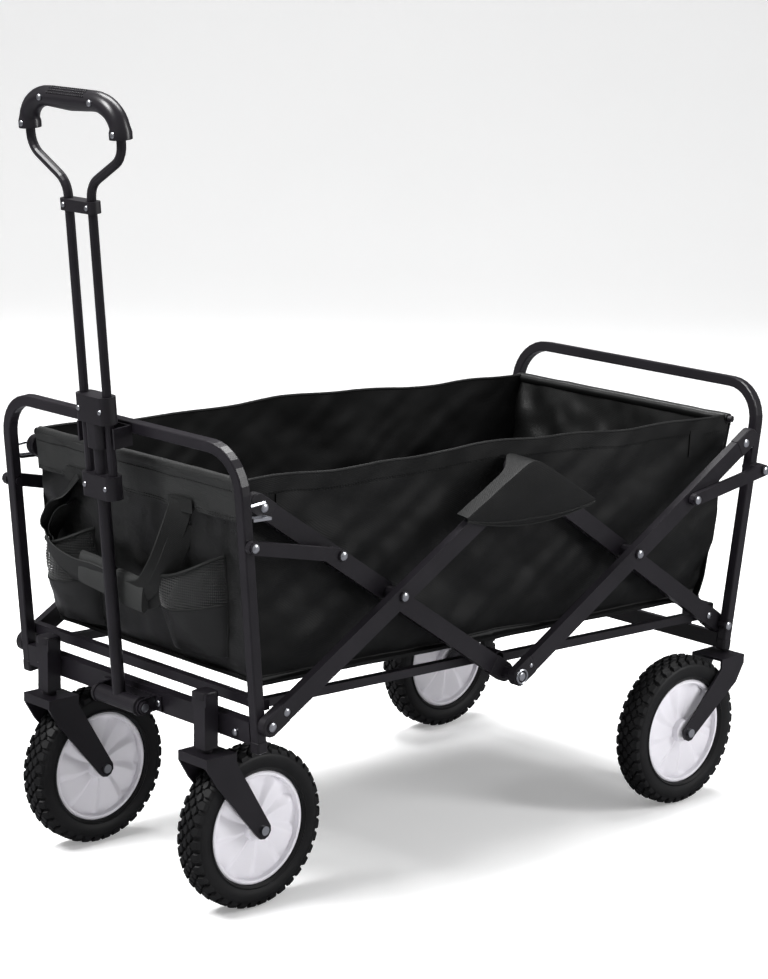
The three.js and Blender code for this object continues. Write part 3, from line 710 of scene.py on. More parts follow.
class WAGON_OT_bar_hardware(bpy.types.Operator):
    """End caps, rivets, hub eyelets and hub screws of the scissor sides"""

    bl_idname = "wagon.bar_hardware"
    bl_label = "Scissor hardware"

    def execute(self, context):
        rivet = context.scene.wagon_steel.rivet_radius
        for body, (outer_end, middle_end, plane_x) in BARS.items():
            caps = Solid()
            rivets = Solid()
            for sign in SIDES.values():
                ends = [bar_end_place(*outer_end), bar_end_place(*middle_end)]
                for i, end in enumerate(ends):
                    other = ends[1 - i]
                    reach = math.hypot(end[0] - other[0], end[1] - other[1])
                    way = ((end[0] - other[0]) / reach, (end[1] - other[1]) / reach)
                    x0, x1 = sorted((sign * (plane_x - CAP_LIFT), sign * (plane_x + BAR_THICK + CAP_LIFT)))
                    add_end_cap(caps, x0, x1, end, way)
                outer_y, outer_z = ends[0]
                head_x = plane_x + BAR_THICK + CAP_LIFT
                inset_y = outer_y - math.copysign(TOP_RIVET_INSET, outer_y)
                inset_z = bar_height(inset_y, outer_end[1])
                if outer_end[1] > 0:
                    rivets.dome(upright(sign * head_x, inset_y, inset_z), (sign, 0, 0), rivet, 0.0016)
                else:
                    pin_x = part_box(f"bar_{body[-1]}_near")[1][0] / MM - 0.3
                    rivets.dome(upright(sign * pin_x, outer_y, outer_z), (sign, 0, 0), rivet, 0.0016)
                    second_y = outer_y - math.copysign(SECOND_RIVET_INSET, outer_y)
                    second_z = bar_height(second_y, outer_end[1])
                    second = upright(sign * head_x, second_y, second_z)
                    rivets.dome(second, (sign, 0, 0), rivet * 0.85, 0.0014)
                if plane_x == OUTER_X:
                    middle = math.copysign(CROSS_Y, outer_y)
                    rivets.dome(upright(sign * PIN_HEAD_X, middle, CROSS_Z), (sign, 0, 0), rivet, 0.0018)
            caps.finish(f"{body}_caps", "plastic", body)
            rivets.finish(f"{body}_rivets", "zinc", body)
        eyelets = Solid()
        screws = Solid()
        for sign in SIDES.values():
            hub = upright(sign * (PIN_HEAD_X - 0.5), 0.0, HUB_Z)
            eyelets.ring(hub, (sign, 0, 0), 0.0082, 0.0013)
            eyelets.dome(hub, (sign, 0, 0), 0.0052, 0.0010)
            screw_z = HUB_Z + HUB_SCREW_Y * math.tan(BAR_SLOPE) + 1.0
            screw = upright(sign * (OUTER_X + BAR_THICK + CAP_LIFT), HUB_SCREW_Y, screw_z)
            screws.dome(screw, (sign, 0, 0), 0.0026, 0.0009)
        eyelets.finish("hub_eyelets", "zinc", "bars_c")
        screws.finish("hub_screws", "zinc", "bars_c")
        return {"FINISHED"}


LINK_LEG_Z = 421.0
LINK_LEG_Y = LEG_Y + (LINK_LEG_Z - LEG_Z) * math.tan(LEAN)
LINK_BAR_Y = 290.0
LINK_BAR_Z = bar_height(LINK_BAR_Y, 1)


class WAGON_OT_link_hardware(bpy.types.Operator):
    """Rivets of the stay links, at the leg and at the bar end of each"""

    bl_idname = "wagon.link_hardware"
    bl_label = "Link hardware"

    def execute(self, context):
        rivet = context.scene.wagon_steel.rivet_radius
        for end, facing in (("front", -1), ("rear", 1)):
            heads = Solid()
            face_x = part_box(f"link_{end}_near")[1][0] / MM
            for sign in SIDES.values():
                leg = upright(sign * (face_x - 0.3), facing * LINK_LEG_Y, LINK_LEG_Z)
                bar = upright(sign * (face_x - 0.3), facing * LINK_BAR_Y, LINK_BAR_Z)
                for place in (leg, bar):
                    heads.dome(place, (sign, 0, 0), rivet, 0.0018)
            heads.finish(f"link_{end}_rivets", "zinc", f"links_{end}")
        return {"FINISHED"}


def rounded_square(sides, fullness):
    """Corners of a unit square with rounded corners; fuller makes them tighter."""
    corners = []
    for k in range(sides):
        a = 2 * math.pi * (k + 0.5) / sides
        u = max(-1.0, min(1.0, fullness * math.cos(a)))
        v = max(-1.0, min(1.0, fullness * math.sin(a)))
        corners.append((u, v))
    return corners


LEG_X, LEG_HALF = 208.5, 6.5
PIN_HEIGHT, PIN_RUN = 276.0, (6.0, 14.0, 22.0, 30.0)

# Outlines of a leg's boot, in millimetres, and of a stem's cap, in metres: height and growth of each ring.
BOOT_PROFILE = ((-0.8, -0.6), (0.4, 0.9), (12.0, 0.9), (12.6, 0.2))
STEM_PROFILE = ((-0.007, 0.0), (-0.0005, 0.0001), (0.0012, -0.0006), (0.0019, -0.0022))
STEM_HALF, STEM_SET_IN = 0.0112, 0.0095


class WAGON_OT_leg_hardware(bpy.types.Operator):
    """Straight wire pins with rings, screws in the crossbars, leg boots and stem caps"""

    bl_idname = "wagon.leg_hardware"
    bl_label = "Leg hardware"

    def execute(self, context):
        for label, side, body in (("front", -1, "chassis_front"), ("rear", 1, "chassis_rear")):
            wires = Solid()
            screws = Solid()
            feet = Solid()
            for sign in SIDES.values():
                pin = [on_end_frame(sign * LEG_X, -side * run, PIN_HEIGHT, side) for run in PIN_RUN]
                wires.tube(pin, 0.0017, 8)
                wires.ring(pin[0], pin[1] - pin[0], 0.0036, 0.0013, 14, 6)
                screws.dome(on_end_frame(sign * 178.0, side * 8.0, 17.0, side), (0, side, 0), 0.004, 0.0015)
                boot = []
                for height, grow in BOOT_PROFILE:
                    half = LEG_HALF + grow
                    boot.append([
                        on_end_frame(sign * LEG_X + u * half, v * half, height, side)
                        for u, v in rounded_square(16, 1.25)
                    ])
                feet.rings(boot)
            wires.finish(f"{label}_wire_pins", "zinc", body)
            screws.finish(f"{label}_crossbar_screws", "zinc", body)
            feet.finish(f"{label}_leg_boots", "plastic", body)
        caps = Solid()
        for label in SIDES:
            low, high = [Vector(c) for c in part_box(f"caster_stem_{label}")]
            middle_x = (low.x + high.x) / 2
            middle_y = low.y + STEM_SET_IN
            rings = []
            for rise, grow in STEM_PROFILE:
                half = STEM_HALF + grow
                rings.append([
                    Vector((middle_x + u * half, middle_y + v * half, high.z + rise))
                    for u, v in rounded_square(20, 1.22)
                ])
            caps.rings(rings)
        caps.finish("stem_caps", "plastic", "chassis_front")
        return {"FINISHED"}


# ---------------------------------------------------------------- wheels


def wheel_frame(node):
    """Centre, half width and radius, in metres, of a wheel part at rest."""
    low, high = [Vector(c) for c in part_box(node)]
    return (low + high) / 2, (high.x - low.x) / 2, (high.z - low.z) / 2


def spin(centre, x, r, a):
    """Point at distance r from a wheel's axle, turned by a."""
    return centre + Vector((x, r * math.cos(a), r * math.sin(a)))


def crown(u, half, radius):
    """Cross-section of the tyre's carcass: u runs -1 to 1 over the tread."""
    drop = 0.0032 + 0.0055 * abs(u) ** 3
    return (half - 0.0012) * u, radius - drop


def add_tread_block(solid, centre, half, radius, outline, height):
    """One rubber block following the crown. outline: (across the tread, angle) of its corners."""
    mid_u = sum(u for u, _ in outline) / len(outline)
    mid_a = sum(a for _, a in outline) / len(outline)
    rings = []
    for share, rise in ((1.0, -0.001), (0.97, height * 0.6), (0.8, height)):
        ring = []
        for u, a in outline:
            inset_u = mid_u + (u - mid_u) * share
            x, r = crown(inset_u, half, radius)
            ring.append(spin(centre, x, r + rise, mid_a + (a - mid_a) * share))
        rings.append(ring)
    solid.rings(rings)


def hexagon(u, a, wide, long):
    """Corners of a six-sided tread block."""
    corners = ((-1, 0), (-0.5, -1), (0.5, -1), (1, 0), (0.5, 1), (-0.5, 1))
    return [(u + wide * cu, a + long * ca) for cu, ca in corners]


# Half a shoulder lug: across the tread, and share of a block's step round the wheel.
LUG_HALF = ((0.52, 0.16), (0.70, 0.40), (1.0, 0.34))
TYRE_STEPS = 96
RIM_GAP = 0.0004


def tyre_profile(half, radius, rim_radius):
    """Cross-section of a tyre, (across, distance from the axle), from bead over the crown to bead."""
    wall = [(half * 0.84, 0.0), (half * 0.97, 0.0025), (half * 0.90, 0.004), (half * 0.90, 0.0052),
            (half * 0.985, 0.0075)]
    wall = [(x, rim_radius + rise) for x, rise in wall]
    wall.append((half * 0.985, radius - 0.0115))
    top = [crown(-1 + k / 6, half, radius) for k in range(13)]
    return [(-x, r) for x, r in wall] + top + wall[::-1]


def tread_outlines(a, step):
    """Outline and height of each block in one step of the tread: a middle one, two flanking, two lugs."""
    blocks = [(hexagon(0.0, a, 0.23, 0.36 * step), 0.0031)]
    for flip in (-1, 1):
        blocks.append((hexagon(flip * 0.38, a + 0.5 * step, 0.21, 0.38 * step), 0.0032))
        lug = [(flip * u, a - share * step) for u, share in LUG_HALF]
        lug += [(flip * u, a + share * step) for u, share in LUG_HALF[::-1]]
        blocks.append((lug, 0.0042))
    return blocks


class WAGON_OT_tyres(bpy.types.Operator):
    """Rounded tyres with zig-zag tread blocks, shoulder lugs and a sidewall rib"""

    bl_idname = "wagon.tyres"
    bl_label = "Tyres"

    def execute(self, context):
        blocks = context.scene.wagon_wheels.tread_blocks
        for end in ("front", "rear"):
            for label in SIDES:
                node = f"{end}_tyre_{label}"
                centre, half, radius = wheel_frame(node)
                rim_radius = wheel_frame(f"{end}_rim_{label}")[2] + RIM_GAP
                solid = Solid()
                profile = tyre_profile(half, radius, rim_radius)
                around = [2 * math.pi * i / TYRE_STEPS for i in range(TYRE_STEPS)]
                solid.rings([[spin(centre, x, r, a) for x, r in profile] for a in around], closed=True)
                step = 2 * math.pi / blocks
                for i in range(blocks):
                    for outline, height in tread_outlines(i * step, step):
                        add_tread_block(solid, centre, half, radius, outline, height)
                body = f"{end}_wheel_{label}_body"
                made = solid.finish(f"{node}_treaded", "rubber", body)
                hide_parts(node)
        return {"FINISHED"}


RIM_HALF, RIM_BORE = 0.015, 0.0054

# A facet climbs over this share of its width and drops over the rest.
FACET_CLIMB = 0.72


def rim_steps(radius):
    """Face of a rim from bore to lip: distance from the axle, distance from the middle, facet relief."""
    boss = [(RIM_BORE, 0.002), (0.0125, 0.002), (0.0138, 0.0012), (0.0142, -0.0015)]
    steps = [(reach, RIM_HALF + out, 0.0) for reach, out in boss]
    for k in range(11):
        share = k / 10
        reach = 0.0150 + share * (radius - 0.0212)
        fade = min(1.0, (1 - share) / 0.08) * min(1.0, 0.2 + share / 0.15)
        steps.append((reach, RIM_HALF - 0.0058, 0.115 * reach * fade))
    lip = [(0.0056, 0.0050), (0.0050, 0.0006), (0.0044, 0.0001), (0.0022, 0.0001), (0.0012, 0.0009),
           (0.0001, 0.0016)]
    return steps + [(radius - inward, RIM_HALF - down, 0.0) for inward, down in lip]


def rim_point(centre, step, radius, blades, a, face):
    """A point of a rim's face at angle a; the facets sweep back towards the lip."""
    r, x, relief = step
    turn = blades * a / (2 * math.pi) + face * 0.35 * (r / radius - 0.25)
    saw = turn - math.floor(turn)
    ramp = saw / FACET_CLIMB if saw < FACET_CLIMB else (1 - saw) / (1 - FACET_CLIMB)
    return spin(centre, face * (x + relief * (ramp - 0.5)), r, a)


class WAGON_OT_rims(bpy.types.Operator):
    """White moulded rims: outer lip, stepped dish, pinwheel facets and a hub boss"""

    bl_idname = "wagon.rims"
    bl_label = "Rims"

    def execute(self, context):
        blades = context.scene.wagon_wheels.blades
        around = 24 * blades
        for end in ("front", "rear"):
            for label in SIDES:
                node = f"{end}_rim_{label}"
                centre, _, radius = wheel_frame(node)
                steps = rim_steps(radius)
                rings = []
                for i in range(around):
                    a = 2 * math.pi * i / around
                    ring = []
                    for face in (1, -1):
                        row = [rim_point(centre, step, radius, blades, a, face) for step in steps]
                        ring += row if face > 0 else row[::-1]
                    rings.append(ring)
                solid = Solid()
                solid.rings(rings, closed=True)
                made = solid.finish(f"{node}_faceted", "rim", f"{end}_wheel_{label}_body")
                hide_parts(node)
        return {"FINISHED"}


# ---------------------------------------------------------------- pull handle

HANDLE_OUT = -27.7


def on_handle(x, out, height):
    """World place on the pull handle's own plane. out: forwards is negative."""
    return on_end_frame(x, HANDLE_OUT + out, height)


# The loop's outline on the handle's plane, in millimetres.
LOOP_X, LOOP_TOP, LOOP_LOW = 80.0, 701.5, 664.5
CORNER_X, CORNER_Z = 40.0, 30.0
GRIP_R, GRIP_BELLY, FLANGE = 11.2, 2.6, 1.3
DOT_PITCH = 3.5

# Heights of the rivets and of the hinge above the end frame's foot, and the hinge bush's outline.
GRIP_RIVETS = ((-80.5, 670.0), (80.5, 670.0), (-44.0, 701.0), (44.0, 701.0))
NECK_Z, LOCK_Z, SLIDER_Z, HINGE_Z = 586.0, 360.0, 272.5, 19.5
BUSH_PROFILE = ((34.6, 10.3), (34.8, 11.2), (38.4, 11.2), (38.9, 10.4))


def grip_path():
    """Centre line of the grip: up one side, round the corner, over the top and down again."""
    path = [(-LOOP_X, LOOP_LOW - 0.2)]
    for k in range(10):
        a = math.radians(10 * k)
        path.append((-LOOP_X + CORNER_X * (1 - math.cos(a)), LOOP_TOP - CORNER_Z * (1 - math.sin(a))))
    corner = path[::-1]
    path += [(x, LOOP_TOP) for x in (-26.0, -13.0, 0.0, 13.0, 26.0)]
    return path + [(-x, z) for x, z in corner]


def grip_ring(path, i):
    """One ring of the grip: a flange at either end, and a belly under the middle."""
    x, z = path[i]
    last = len(path) - 1
    ahead = Vector(path[min(i + 1, last)]) - Vector(path[max(i - 1, 0)])
    ahead.normalize()
    out = Vector((-ahead.y, ahead.x))
    flange = {0: 1.0, 1: 1.04}.get(min(i, last - i), 0.0)
    middle = max(0.0, 1 - abs(x) / 44.0)
    grow = GRIP_R + FLANGE * flange
    ring = []
    for k in range(20):
        a = 2 * math.pi * k / 20
        offset = math.cos(a) * (grow + GRIP_BELLY * middle * max(0.0, -math.cos(a)))
        depth = math.sin(a) * (grow + 0.6 * middle)
        ring.append(on_handle(x + out.x * offset, depth, z + out.y * offset))
    return ring


class WAGON_OT_handle(bpy.types.Operator):
    """Moulded grip with its flanges, dotted pad and rivets, and the collars' screws"""

    bl_idname = "wagon.handle"
    bl_label = "Pull handle"

    def execute(self, context):
        path = grip_path()
        grip = Solid()
        grip.rings([grip_ring(path, i) for i in range(len(path))])
        made = grip.finish("grip_moulded", "gloss", "handle_upper")
        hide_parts("grip")
        pad = Solid()
        for row in range(4):
            for k in range(19):
                x = -31.5 + DOT_PITCH * k + (row % 2) * DOT_PITCH / 2
                if abs(x) > 33.0:
                    continue
                a = math.radians(28 + 17 * row)
                z = LOOP_TOP + 11.6 * math.sin(a)
                out = -11.9 * math.cos(a)
                facing = on_handle(x, out - math.cos(a), z + math.sin(a)) - on_handle(x, out, z)
                pad.dome(on_handle(x, out, z), facing, 0.00115, 0.0007, 6)
        pad.finish("grip_dots", "plastic", "handle_upper")
        rivets = Solid()
        for x, z in GRIP_RIVETS:
            rivets.dome(on_handle(x, -11.6, z), (0, -1, 0), 0.0036, 0.0016)
        for x in (-20.5, 20.5):
            rivets.dome(on_handle(x, -8.4, NECK_Z), (0, -1, 0), 0.003, 0.0014)
            rivets.dome(on_handle(x * 0.9, -11.2, SLIDER_Z), (0, -1, 0), 0.003, 0.0014)
        rivets.finish("handle_rivets", "zinc", "handle_upper")
        lower = Solid()
        for x in (-19.0, 19.0):
            lower.dome(on_handle(x, -11.2, LOCK_Z), (0, -1, 0), 0.003, 0.0014)
        lower.finish("lock_rivets", "zinc", "handle_lower")
        sleeve = Solid()
        for sign in (-1, 1):
            rings = []
            for x, r in BUSH_PROFILE:
                ring = []
                for k in range(24):
                    a = 2 * math.pi * k / 24
                    ring.append(on_handle(sign * x, r * math.cos(a), HINGE_Z + r * math.sin(a)))
                rings.append(ring)
            sleeve.rings(rings)
        sleeve.finish("sleeve_bushes", "plastic", "handle_lower")
        screws = Solid()
        for x in (-46.5, 46.5):
            screws.dome(on_end_frame(x, -9.2, HINGE_Z), (0, -1, 0), 0.0036, 0.0016)
        screws.dome(on_end_frame(46.0, HANDLE_OUT, HINGE_Z), (1, 0, 0), 0.0055, 0.0012)
        screws.finish("bracket_screws", "zinc", "chassis_front")
        return {"FINISHED"}


# ---------------------------------------------------------------- cloth tub


def crumple(piece):
    """Gives a side cloth piece its own copy of its mesh."""
    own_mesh(piece)
    return piece


def side_top(share):
    """Height of a side panel's hem: pulled up at the ends and the middle, slack between."""
    slack = abs(math.sin(2 * math.pi * share))
    middle = 6.0 * math.sin(math.pi * share)
    ripple = 1.2 * math.sin(31 * share)
    return TUB_HIGH - 3.0 + middle - 5.5 * slack ** 1.5 + ripple


def side_cloth_depth(y, z, seed):
    """How far a side panel is drawn inwards, in millimetres: long soft folds with finer creases."""
    up = (z - TUB_LOW) / (TUB_HIGH - TUB_LOW)
    pull = wave((0, y + 0.9 * z, y * 0.4 - z), 92.0, seed) * 7.0
    pull += wave((0, y - 1.3 * z, z * 0.5), 41.0, seed + 5) * 3.6
    pull += wave((0, y, z), 17.0, seed + 9) * 1.1
    cross = min(1.0, abs(abs(y) - CROSS_Y) / 90.0)
    belly = 3.0 * math.sin(math.pi * min(1.0, max(0.0, up))) * cross
    rounding = 9.0 * max(0.0, 1 - up / 0.16) ** 2
    return 7.0 + pull * (0.35 + 0.65 * math.sin(math.pi * min(1.0, 0.15 + up * 0.8))) - belly + rounding


def side_place(sign, share, up, seed, lift=0.0):
    """A point of a side panel; share runs from the handle end, up from the floor."""
    top = side_top(share)
    z = TUB_LOW + 3.0 + up * (top - TUB_LOW - 3.0)
    if up < 0.2:
        z += 5.0 * (1 - up / 0.2) * (0.5 + 0.5 * math.cos(4 * math.pi * share))
    y = end_wall_y(z) * (2 * share - 1) * 0.999
    return upright(sign * (TUB_X - max(0.4, side_cloth_depth(y, z, seed)) + lift), y, z)


# Reinforcing patches on a side panel: start along it, reach and foot, as shares of the panel.
SIDE_PATCHES = ((0.058, 0.076, 0.77), (0.91, 0.03, 0.80))
PATCH_RISE = 0.145


class WAGON_OT_tub_sides(bpy.types.Operator):
    """Side cloths with slack hems, folds and piping"""

    bl_idname = "wagon.tub_sides"
    bl_label = "Side cloths"

    def execute(self, context):
        thickness = context.scene.wagon_cloth.thickness
        for label, sign in SIDES.items():
            seed = 3.0 if sign > 0 else 11.0
            side = Solid()
            side.shell(lambda u, v: side_place(sign, u, v, seed), 150, 46, thickness)
            made = side.finish(f"side_cloth_{label}", "cloth", "chassis_front")
            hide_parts(f"panel_{label}")
            crumple(made)
            hem = Solid()
            hem.shell(lambda u, v: side_place(sign, u, 0.925 + 0.072 * v, seed, 0.9), 150, 3, 0.0012)
            edge = [side_place(sign, i / 120, 0.997, seed) + Vector((0, 0, 0.001)) for i in range(121)]
            hem.tube(edge, 0.0019, 8)
            crumple(hem.finish(f"side_hem_{label}", "cloth", "chassis_front"))
            low = Solid()
            low.tube([side_place(sign, i / 120, 0.004, seed) for i in range(121)], 0.0017, 8)
            crumple(low.finish(f"side_low_seam_{label}", "piping", "chassis_front"))
            patches = Solid()
            for share, reach, foot in SIDE_PATCHES:
                patches.shell(
                    lambda u, v: side_place(sign, share + reach * u, foot + PATCH_RISE * v, seed, 1.6),
                    10, 8, 0.0013
                )
            crumple(patches.finish(f"side_patches_{label}", "cloth", "chassis_front"))
            stitches = Solid()
            for up in (0.922, 0.915):
                for i in range(196):
                    share = 0.01 + i / 200
                    a = side_place(sign, share, up, seed, 1.2)
                    b = side_place(sign, share + 0.0028, up, seed, 1.2)
                    stitches.tube([a, b], 0.00035, 4)
            crumple(stitches.finish(f"side_stitches_{label}", "piping", "chassis_front"))
        return {"FINISHED"}


def end_cloth_out(x, z, side):
    """How far an end cloth stands out, in millimetres: gathers under the hem, folds and a slack belly."""
    up = (z - TUB_LOW) / (TUB_HIGH - TUB_LOW)
    gather = math.sin(x / 9.5 + 2.0 * wave((x, 0, 0), 60.0, 4.0)) * 1.1 * max(0.0, up - 0.45)
    folds = wave((x + 0.5 * z, 0, z * 0.6), 58.0, 21.0 + side) * 9.0
    folds += wave((x, 0, z), 23.0, 31.0) * 3.0
    belly = 3.0 * math.sin(math.pi * up) * math.cos(x / TUB_X * math.pi / 2)
    return (folds + belly) * (0.25 + 0.75 * math.sin(math.pi * min(1, max(0, up)))) + gather


def end_place(x, z, side, lift=0.0):
    """A point of an end cloth; lift moves it outwards."""
    bottom = 8.0 * max(0.0, 1 - (z - TUB_LOW) / 30.0) ** 2
    y = end_wall_y(z) - 2.0 + end_cloth_out(x, z, side) - bottom + lift
    return upright(x, side * y, z)


HEM_LOW, HEM_ROD_Z, HEM_ROD_R = 438.0, 481.0, 6.5
END_REACH = TUB_X - 3.5


def band_place(u, v, side):
    """A point of the hem's stitched band, which stands off the cloth and ripples at its lower edge."""
    lift = 4.6 + 1.4 * v + 0.9 * math.sin(40 * u) * (1 - v)
    return end_place((2 * u - 1) * END_REACH, HEM_LOW + v * (HEM_ROD_Z - HEM_LOW), side, lift)


class WAGON_OT_tub_ends(bpy.types.Operator):
    """End cloths hung on rods: rod sleeve, stitched band and gathers"""

    bl_idname = "wagon.tub_ends"
    bl_label = "End cloths"

    def execute(self, context):
        thickness = context.scene.wagon_cloth.thickness
        for label, side, body in (("front", -1, "chassis_front"), ("rear", 1, "chassis_rear")):
            cloth = Solid()
            low = TUB_LOW + 2.0
            cloth.shell(
                lambda u, v: end_place((2 * u - 1) * END_REACH, low + v * (HEM_ROD_Z - low), side),
                84, 50, thickness
            )
            made = cloth.finish(f"end_cloth_{label}", "end_cloth", body)
            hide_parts(f"panel_{label}")
            band = Solid()
            band.shell(lambda u, v: band_place(u, v, side), 84, 8, 0.0014)
            rings = []
            for i in range(85):
                x = (2 * i / 84 - 1) * END_REACH
                ring = []
                for k in range(14):
                    a = 2 * math.pi * k / 14
                    r = HEM_ROD_R + 0.5 * wave((x, 0, 20 * math.cos(a)), 24.0, 51.0)
                    y = end_wall_y(HEM_ROD_Z) - 1.5 + r * math.cos(a)
                    ring.append(upright(x, side * y, HEM_ROD_Z + r * math.sin(a)))
                rings.append(ring)
            band.rings(rings)
            # Painted light: the front hem gets a lighter copy of the end cloth, and the rear hem gets the end
            # cloth itself.
            band.finish(f"hem_{label}", "hem_cloth" if side < 0 else "end_cloth", body)
            stitches = Solid()
            for z in (HEM_LOW + 1.8, HEM_LOW + 4.6, HEM_ROD_Z - 8.5):
                for i in range(92):
                    x = -END_REACH + 3.0 + 4.0 * i
                    lift = 5.9 + 1.4 * (z - HEM_LOW) / (HEM_ROD_Z - HEM_LOW)
                    stitches.tube([end_place(x, z, side, lift), end_place(x + 2.4, z, side, lift)], 0.0004, 4)
            stitches.finish(f"hem_stitches_{label}", "piping", body)
            rod = Solid()
            for sign in SIDES.values():
                y = end_wall_y(HEM_ROD_Z) - 1.5
                inner = upright(sign * (END_REACH + 0.2), side * y, HEM_ROD_Z)
                outer = upright(sign * (END_REACH + 5.5), side * (y + 1.0), HEM_ROD_Z)
                rod.tube([inner, outer], 0.0042, 12)
            rod.finish(f"hem_rod_ends_{label}", "plastic", body)
        return {"FINISHED"}


FLOOR_X, FLOOR_Y, FLOOR_Z = TUB_X - 5.0, TUB_LOW_Y - 5.0, TUB_LOW + 1.0
FLOOR_GAP, FLOOR_THICK = 0.4, 0.0042


def floor_place(u, v, side):
    """A point of one half of the floor, which is crowned over each of its two boards."""
    x = (2 * u - 1) * FLOOR_X
    y = side * (FLOOR_GAP + v * (FLOOR_Y - FLOOR_GAP))
    panel = math.sin(math.pi * ((v * 2) % 1.0)) ** 0.3
    z = FLOOR_Z + 3.0 * panel * math.sin(math.pi * u) ** 0.25 + 0.6 * wave((x, y, 0), 48.0, 61.0)
    return upright(x, y, z)


class WAGON_OT_tub_floor(bpy.types.Operator):
    """Folding floor cloth over its boards, in two halves"""

    bl_idname = "wagon.tub_floor"
    bl_label = "Floor cloth"

    def execute(self, context):
        for label, side, body in (("front", -1, "floor_front"), ("rear", 1, "floor_rear")):
            floor = Solid()
            floor.shell(lambda u, v: floor_place(u, v, side), 60, 60, FLOOR_THICK)
            made = floor.finish(f"floor_cloth_{label}", "inner_cloth", body)
            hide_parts("tub_floor")
        return {"FINISHED"}


HOOD_REACH, HOOD_PEAK, HOOD_CORNER, HOOD_SAG = 106.0, 481.0, 419.0, 14.0


def hood_place(sign, u, v, out=0.0):
    """A joint's three-cornered pocket. v: 0 at its curved foot, 1 at its ridge, more back to the tub."""
    across = 2 * u - 1
    foot = HOOD_CORNER - 4.0 - HOOD_SAG * (1 - across * across)
    ridge = HOOD_PEAK - (HOOD_PEAK - HOOD_CORNER) * (across * across + 0.012) ** 0.5
    z = foot + (ridge - foot) * min(v, 1.0) + 6.0 * max(0.0, v - 1.0)
    puff = 1.4 * math.sin(math.pi * u) * math.sin(math.pi * min(v, 1.0))
    front = OUTER_X + BAR_THICK + 4.4 + puff + 0.6 * wave((0, across * 90.0, z), 26.0, 71.0)
    back = max(0.0, v - 1.0) * 3.0
    depth = 17.0 + 24.0 * math.exp(-25.0 * across * across)
    x = front - depth * min(1.0, back) ** 1.3
    return upright(sign * (x + out), across * HOOD_REACH, z)


class WAGON_OT_joint_hoods(bpy.types.Operator):
    """Cloth pockets sewn over the middle joints"""

    bl_idname = "wagon.joint_hoods"
    bl_label = "Joint hoods"

    def execute(self, context):
        for label, sign in SIDES.items():
            hood = Solid()
            hood.shell(lambda u, v: hood_place(sign, u, 1.34 * v), 56, 36, 0.0016)
            made = hood.finish(f"joint_hood_{label}", "cloth", None)
            hem = Solid()
            for v in (0.0, 0.09):
                hem.tube([hood_place(sign, i / 44, v, 0.8) for i in range(45)], 0.0011, 6)
            edge = hem.finish(f"joint_hood_hem_{label}", "piping", None)
            for piece in (made, edge):
                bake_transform(piece)
        return {"FINISHED"}


# Each cup pocket: left and right edges, then left and right heights of its foot, net seam and elastic.
CUPS = {
    "near": ((34.0, 139.0), (272.0, 276.0), (321.0, 337.0), (356.0, 392.0)),
    "far": ((-181.0, -88.0), (266.0, 264.0), (312.0, 323.0), (357.0, 382.0)),
}


def cup_place(cup, u, v, low, high, lift=0.0):
    """A bulging cup pocket on the front cloth; v runs from low to high."""
    edges, bottom, _, top = cup
    at = [pair[0] + (pair[1] - pair[0]) * u for pair in (low, high, bottom, top)]
    z = at[0] + v * (at[1] - at[0])
    rise = (z - at[2]) / (at[3] - at[2])
    taper = 0.90 + 0.10 * min(1.0, rise * 1.6)
    x = sum(edges) / 2 + (u - 0.5) * (edges[1] - edges[0]) * taper
    round_out = max(0.0, math.sin(math.pi * u)) ** 0.62
    bulge = (10.0 + 20.0 * math.sin(math.pi * min(0.62, 0.10 + rise * 0.56))) * round_out
    creases = 4.2 * wave((x, 0, z * 0.8), 24.0, 81.0) * math.sin(math.pi * u) * (1.1 - rise * 0.6)
    dip = 9.0 * math.sin(math.pi * u) * rise
    return end_place(x, z - dip, -1, 0.6 + bulge + creases + lift)


class WAGON_OT_cup_pockets(bpy.types.Operator):
    """Two cup pockets on the front cloth: cloth cup, net collar, elastic top and stitching"""

    bl_idname = "wagon.cup_pockets"
    bl_label = "Cup pockets"

    def execute(self, context):
        for label, cup in CUPS.items():
            bottom, seam, top = cup[1:]
            solid = Solid()
            solid.shell(lambda u, v: cup_place(cup, u, v, bottom, seam), 40, 18, 0.0014)
            made = solid.finish(f"cup_cloth_{label}", "end_cloth", "chassis_front")
            net = Solid()
            net.shell(lambda u, v: cup_place(cup, u, v, seam, top), 40, 14, 0.0009)
            made = net.finish(f"cup_net_{label}", "net", "chassis_front")
            trim = Solid()
            trim.tube([cup_place(cup, i / 40, 1.0, seam, top, 0.5) for i in range(41)], 0.0021, 8)
            trim.tube([cup_place(cup, i / 40, 1.0, bottom, seam, 0.6) for i in range(41)], 0.0013, 6)
            for u in (0.0, 1.0):
                trim.tube([cup_place(cup, u, k / 12, bottom, top, 0.4) for k in range(13)], 0.0013, 6)
            trim.finish(f"cup_trim_{label}", "piping", "chassis_front")
        return {"FINISHED"}


# The carry strap's run over the front cloth: across, height and distance out from the cloth.
STRAP_STOPS = [
    (-108.0, 446.0, 4.0), (-124.0, 420.0, 9.0), (-147.0, 396.0, 15.0), (-156.0, 370.0, 22.0),
    (-134.0, 350.0, 30.0), (-88.0, 341.0, 33.0), (-46.0, 341.0, 32.0), (-12.0, 336.0, 29.0),
    (14.0, 333.0, 29.0), (40.0, 341.0, 29.0), (60.0, 368.0, 27.0), (73.0, 405.0, 16.0),
    (80.0, 430.0, 8.0), (82.0, 446.0, 4.0),
]

# Each hand wrap: middle across, middle height and length.
HAND_WRAPS = ((-46.0, 341.0, 60.0), (14.0, 333.0, 46.0))
STRAP_TACKS = ((-108.0, 443.0), (82.0, 443.0))
WRAP_HALF_HEIGHT, WRAP_HALF_DEPTH = 0.0185, 0.0052


def squared(value):
    """A sine or cosine pushed outwards, so that a round section becomes a soft-cornered one."""
    return math.copysign(abs(value) ** 0.7, value)


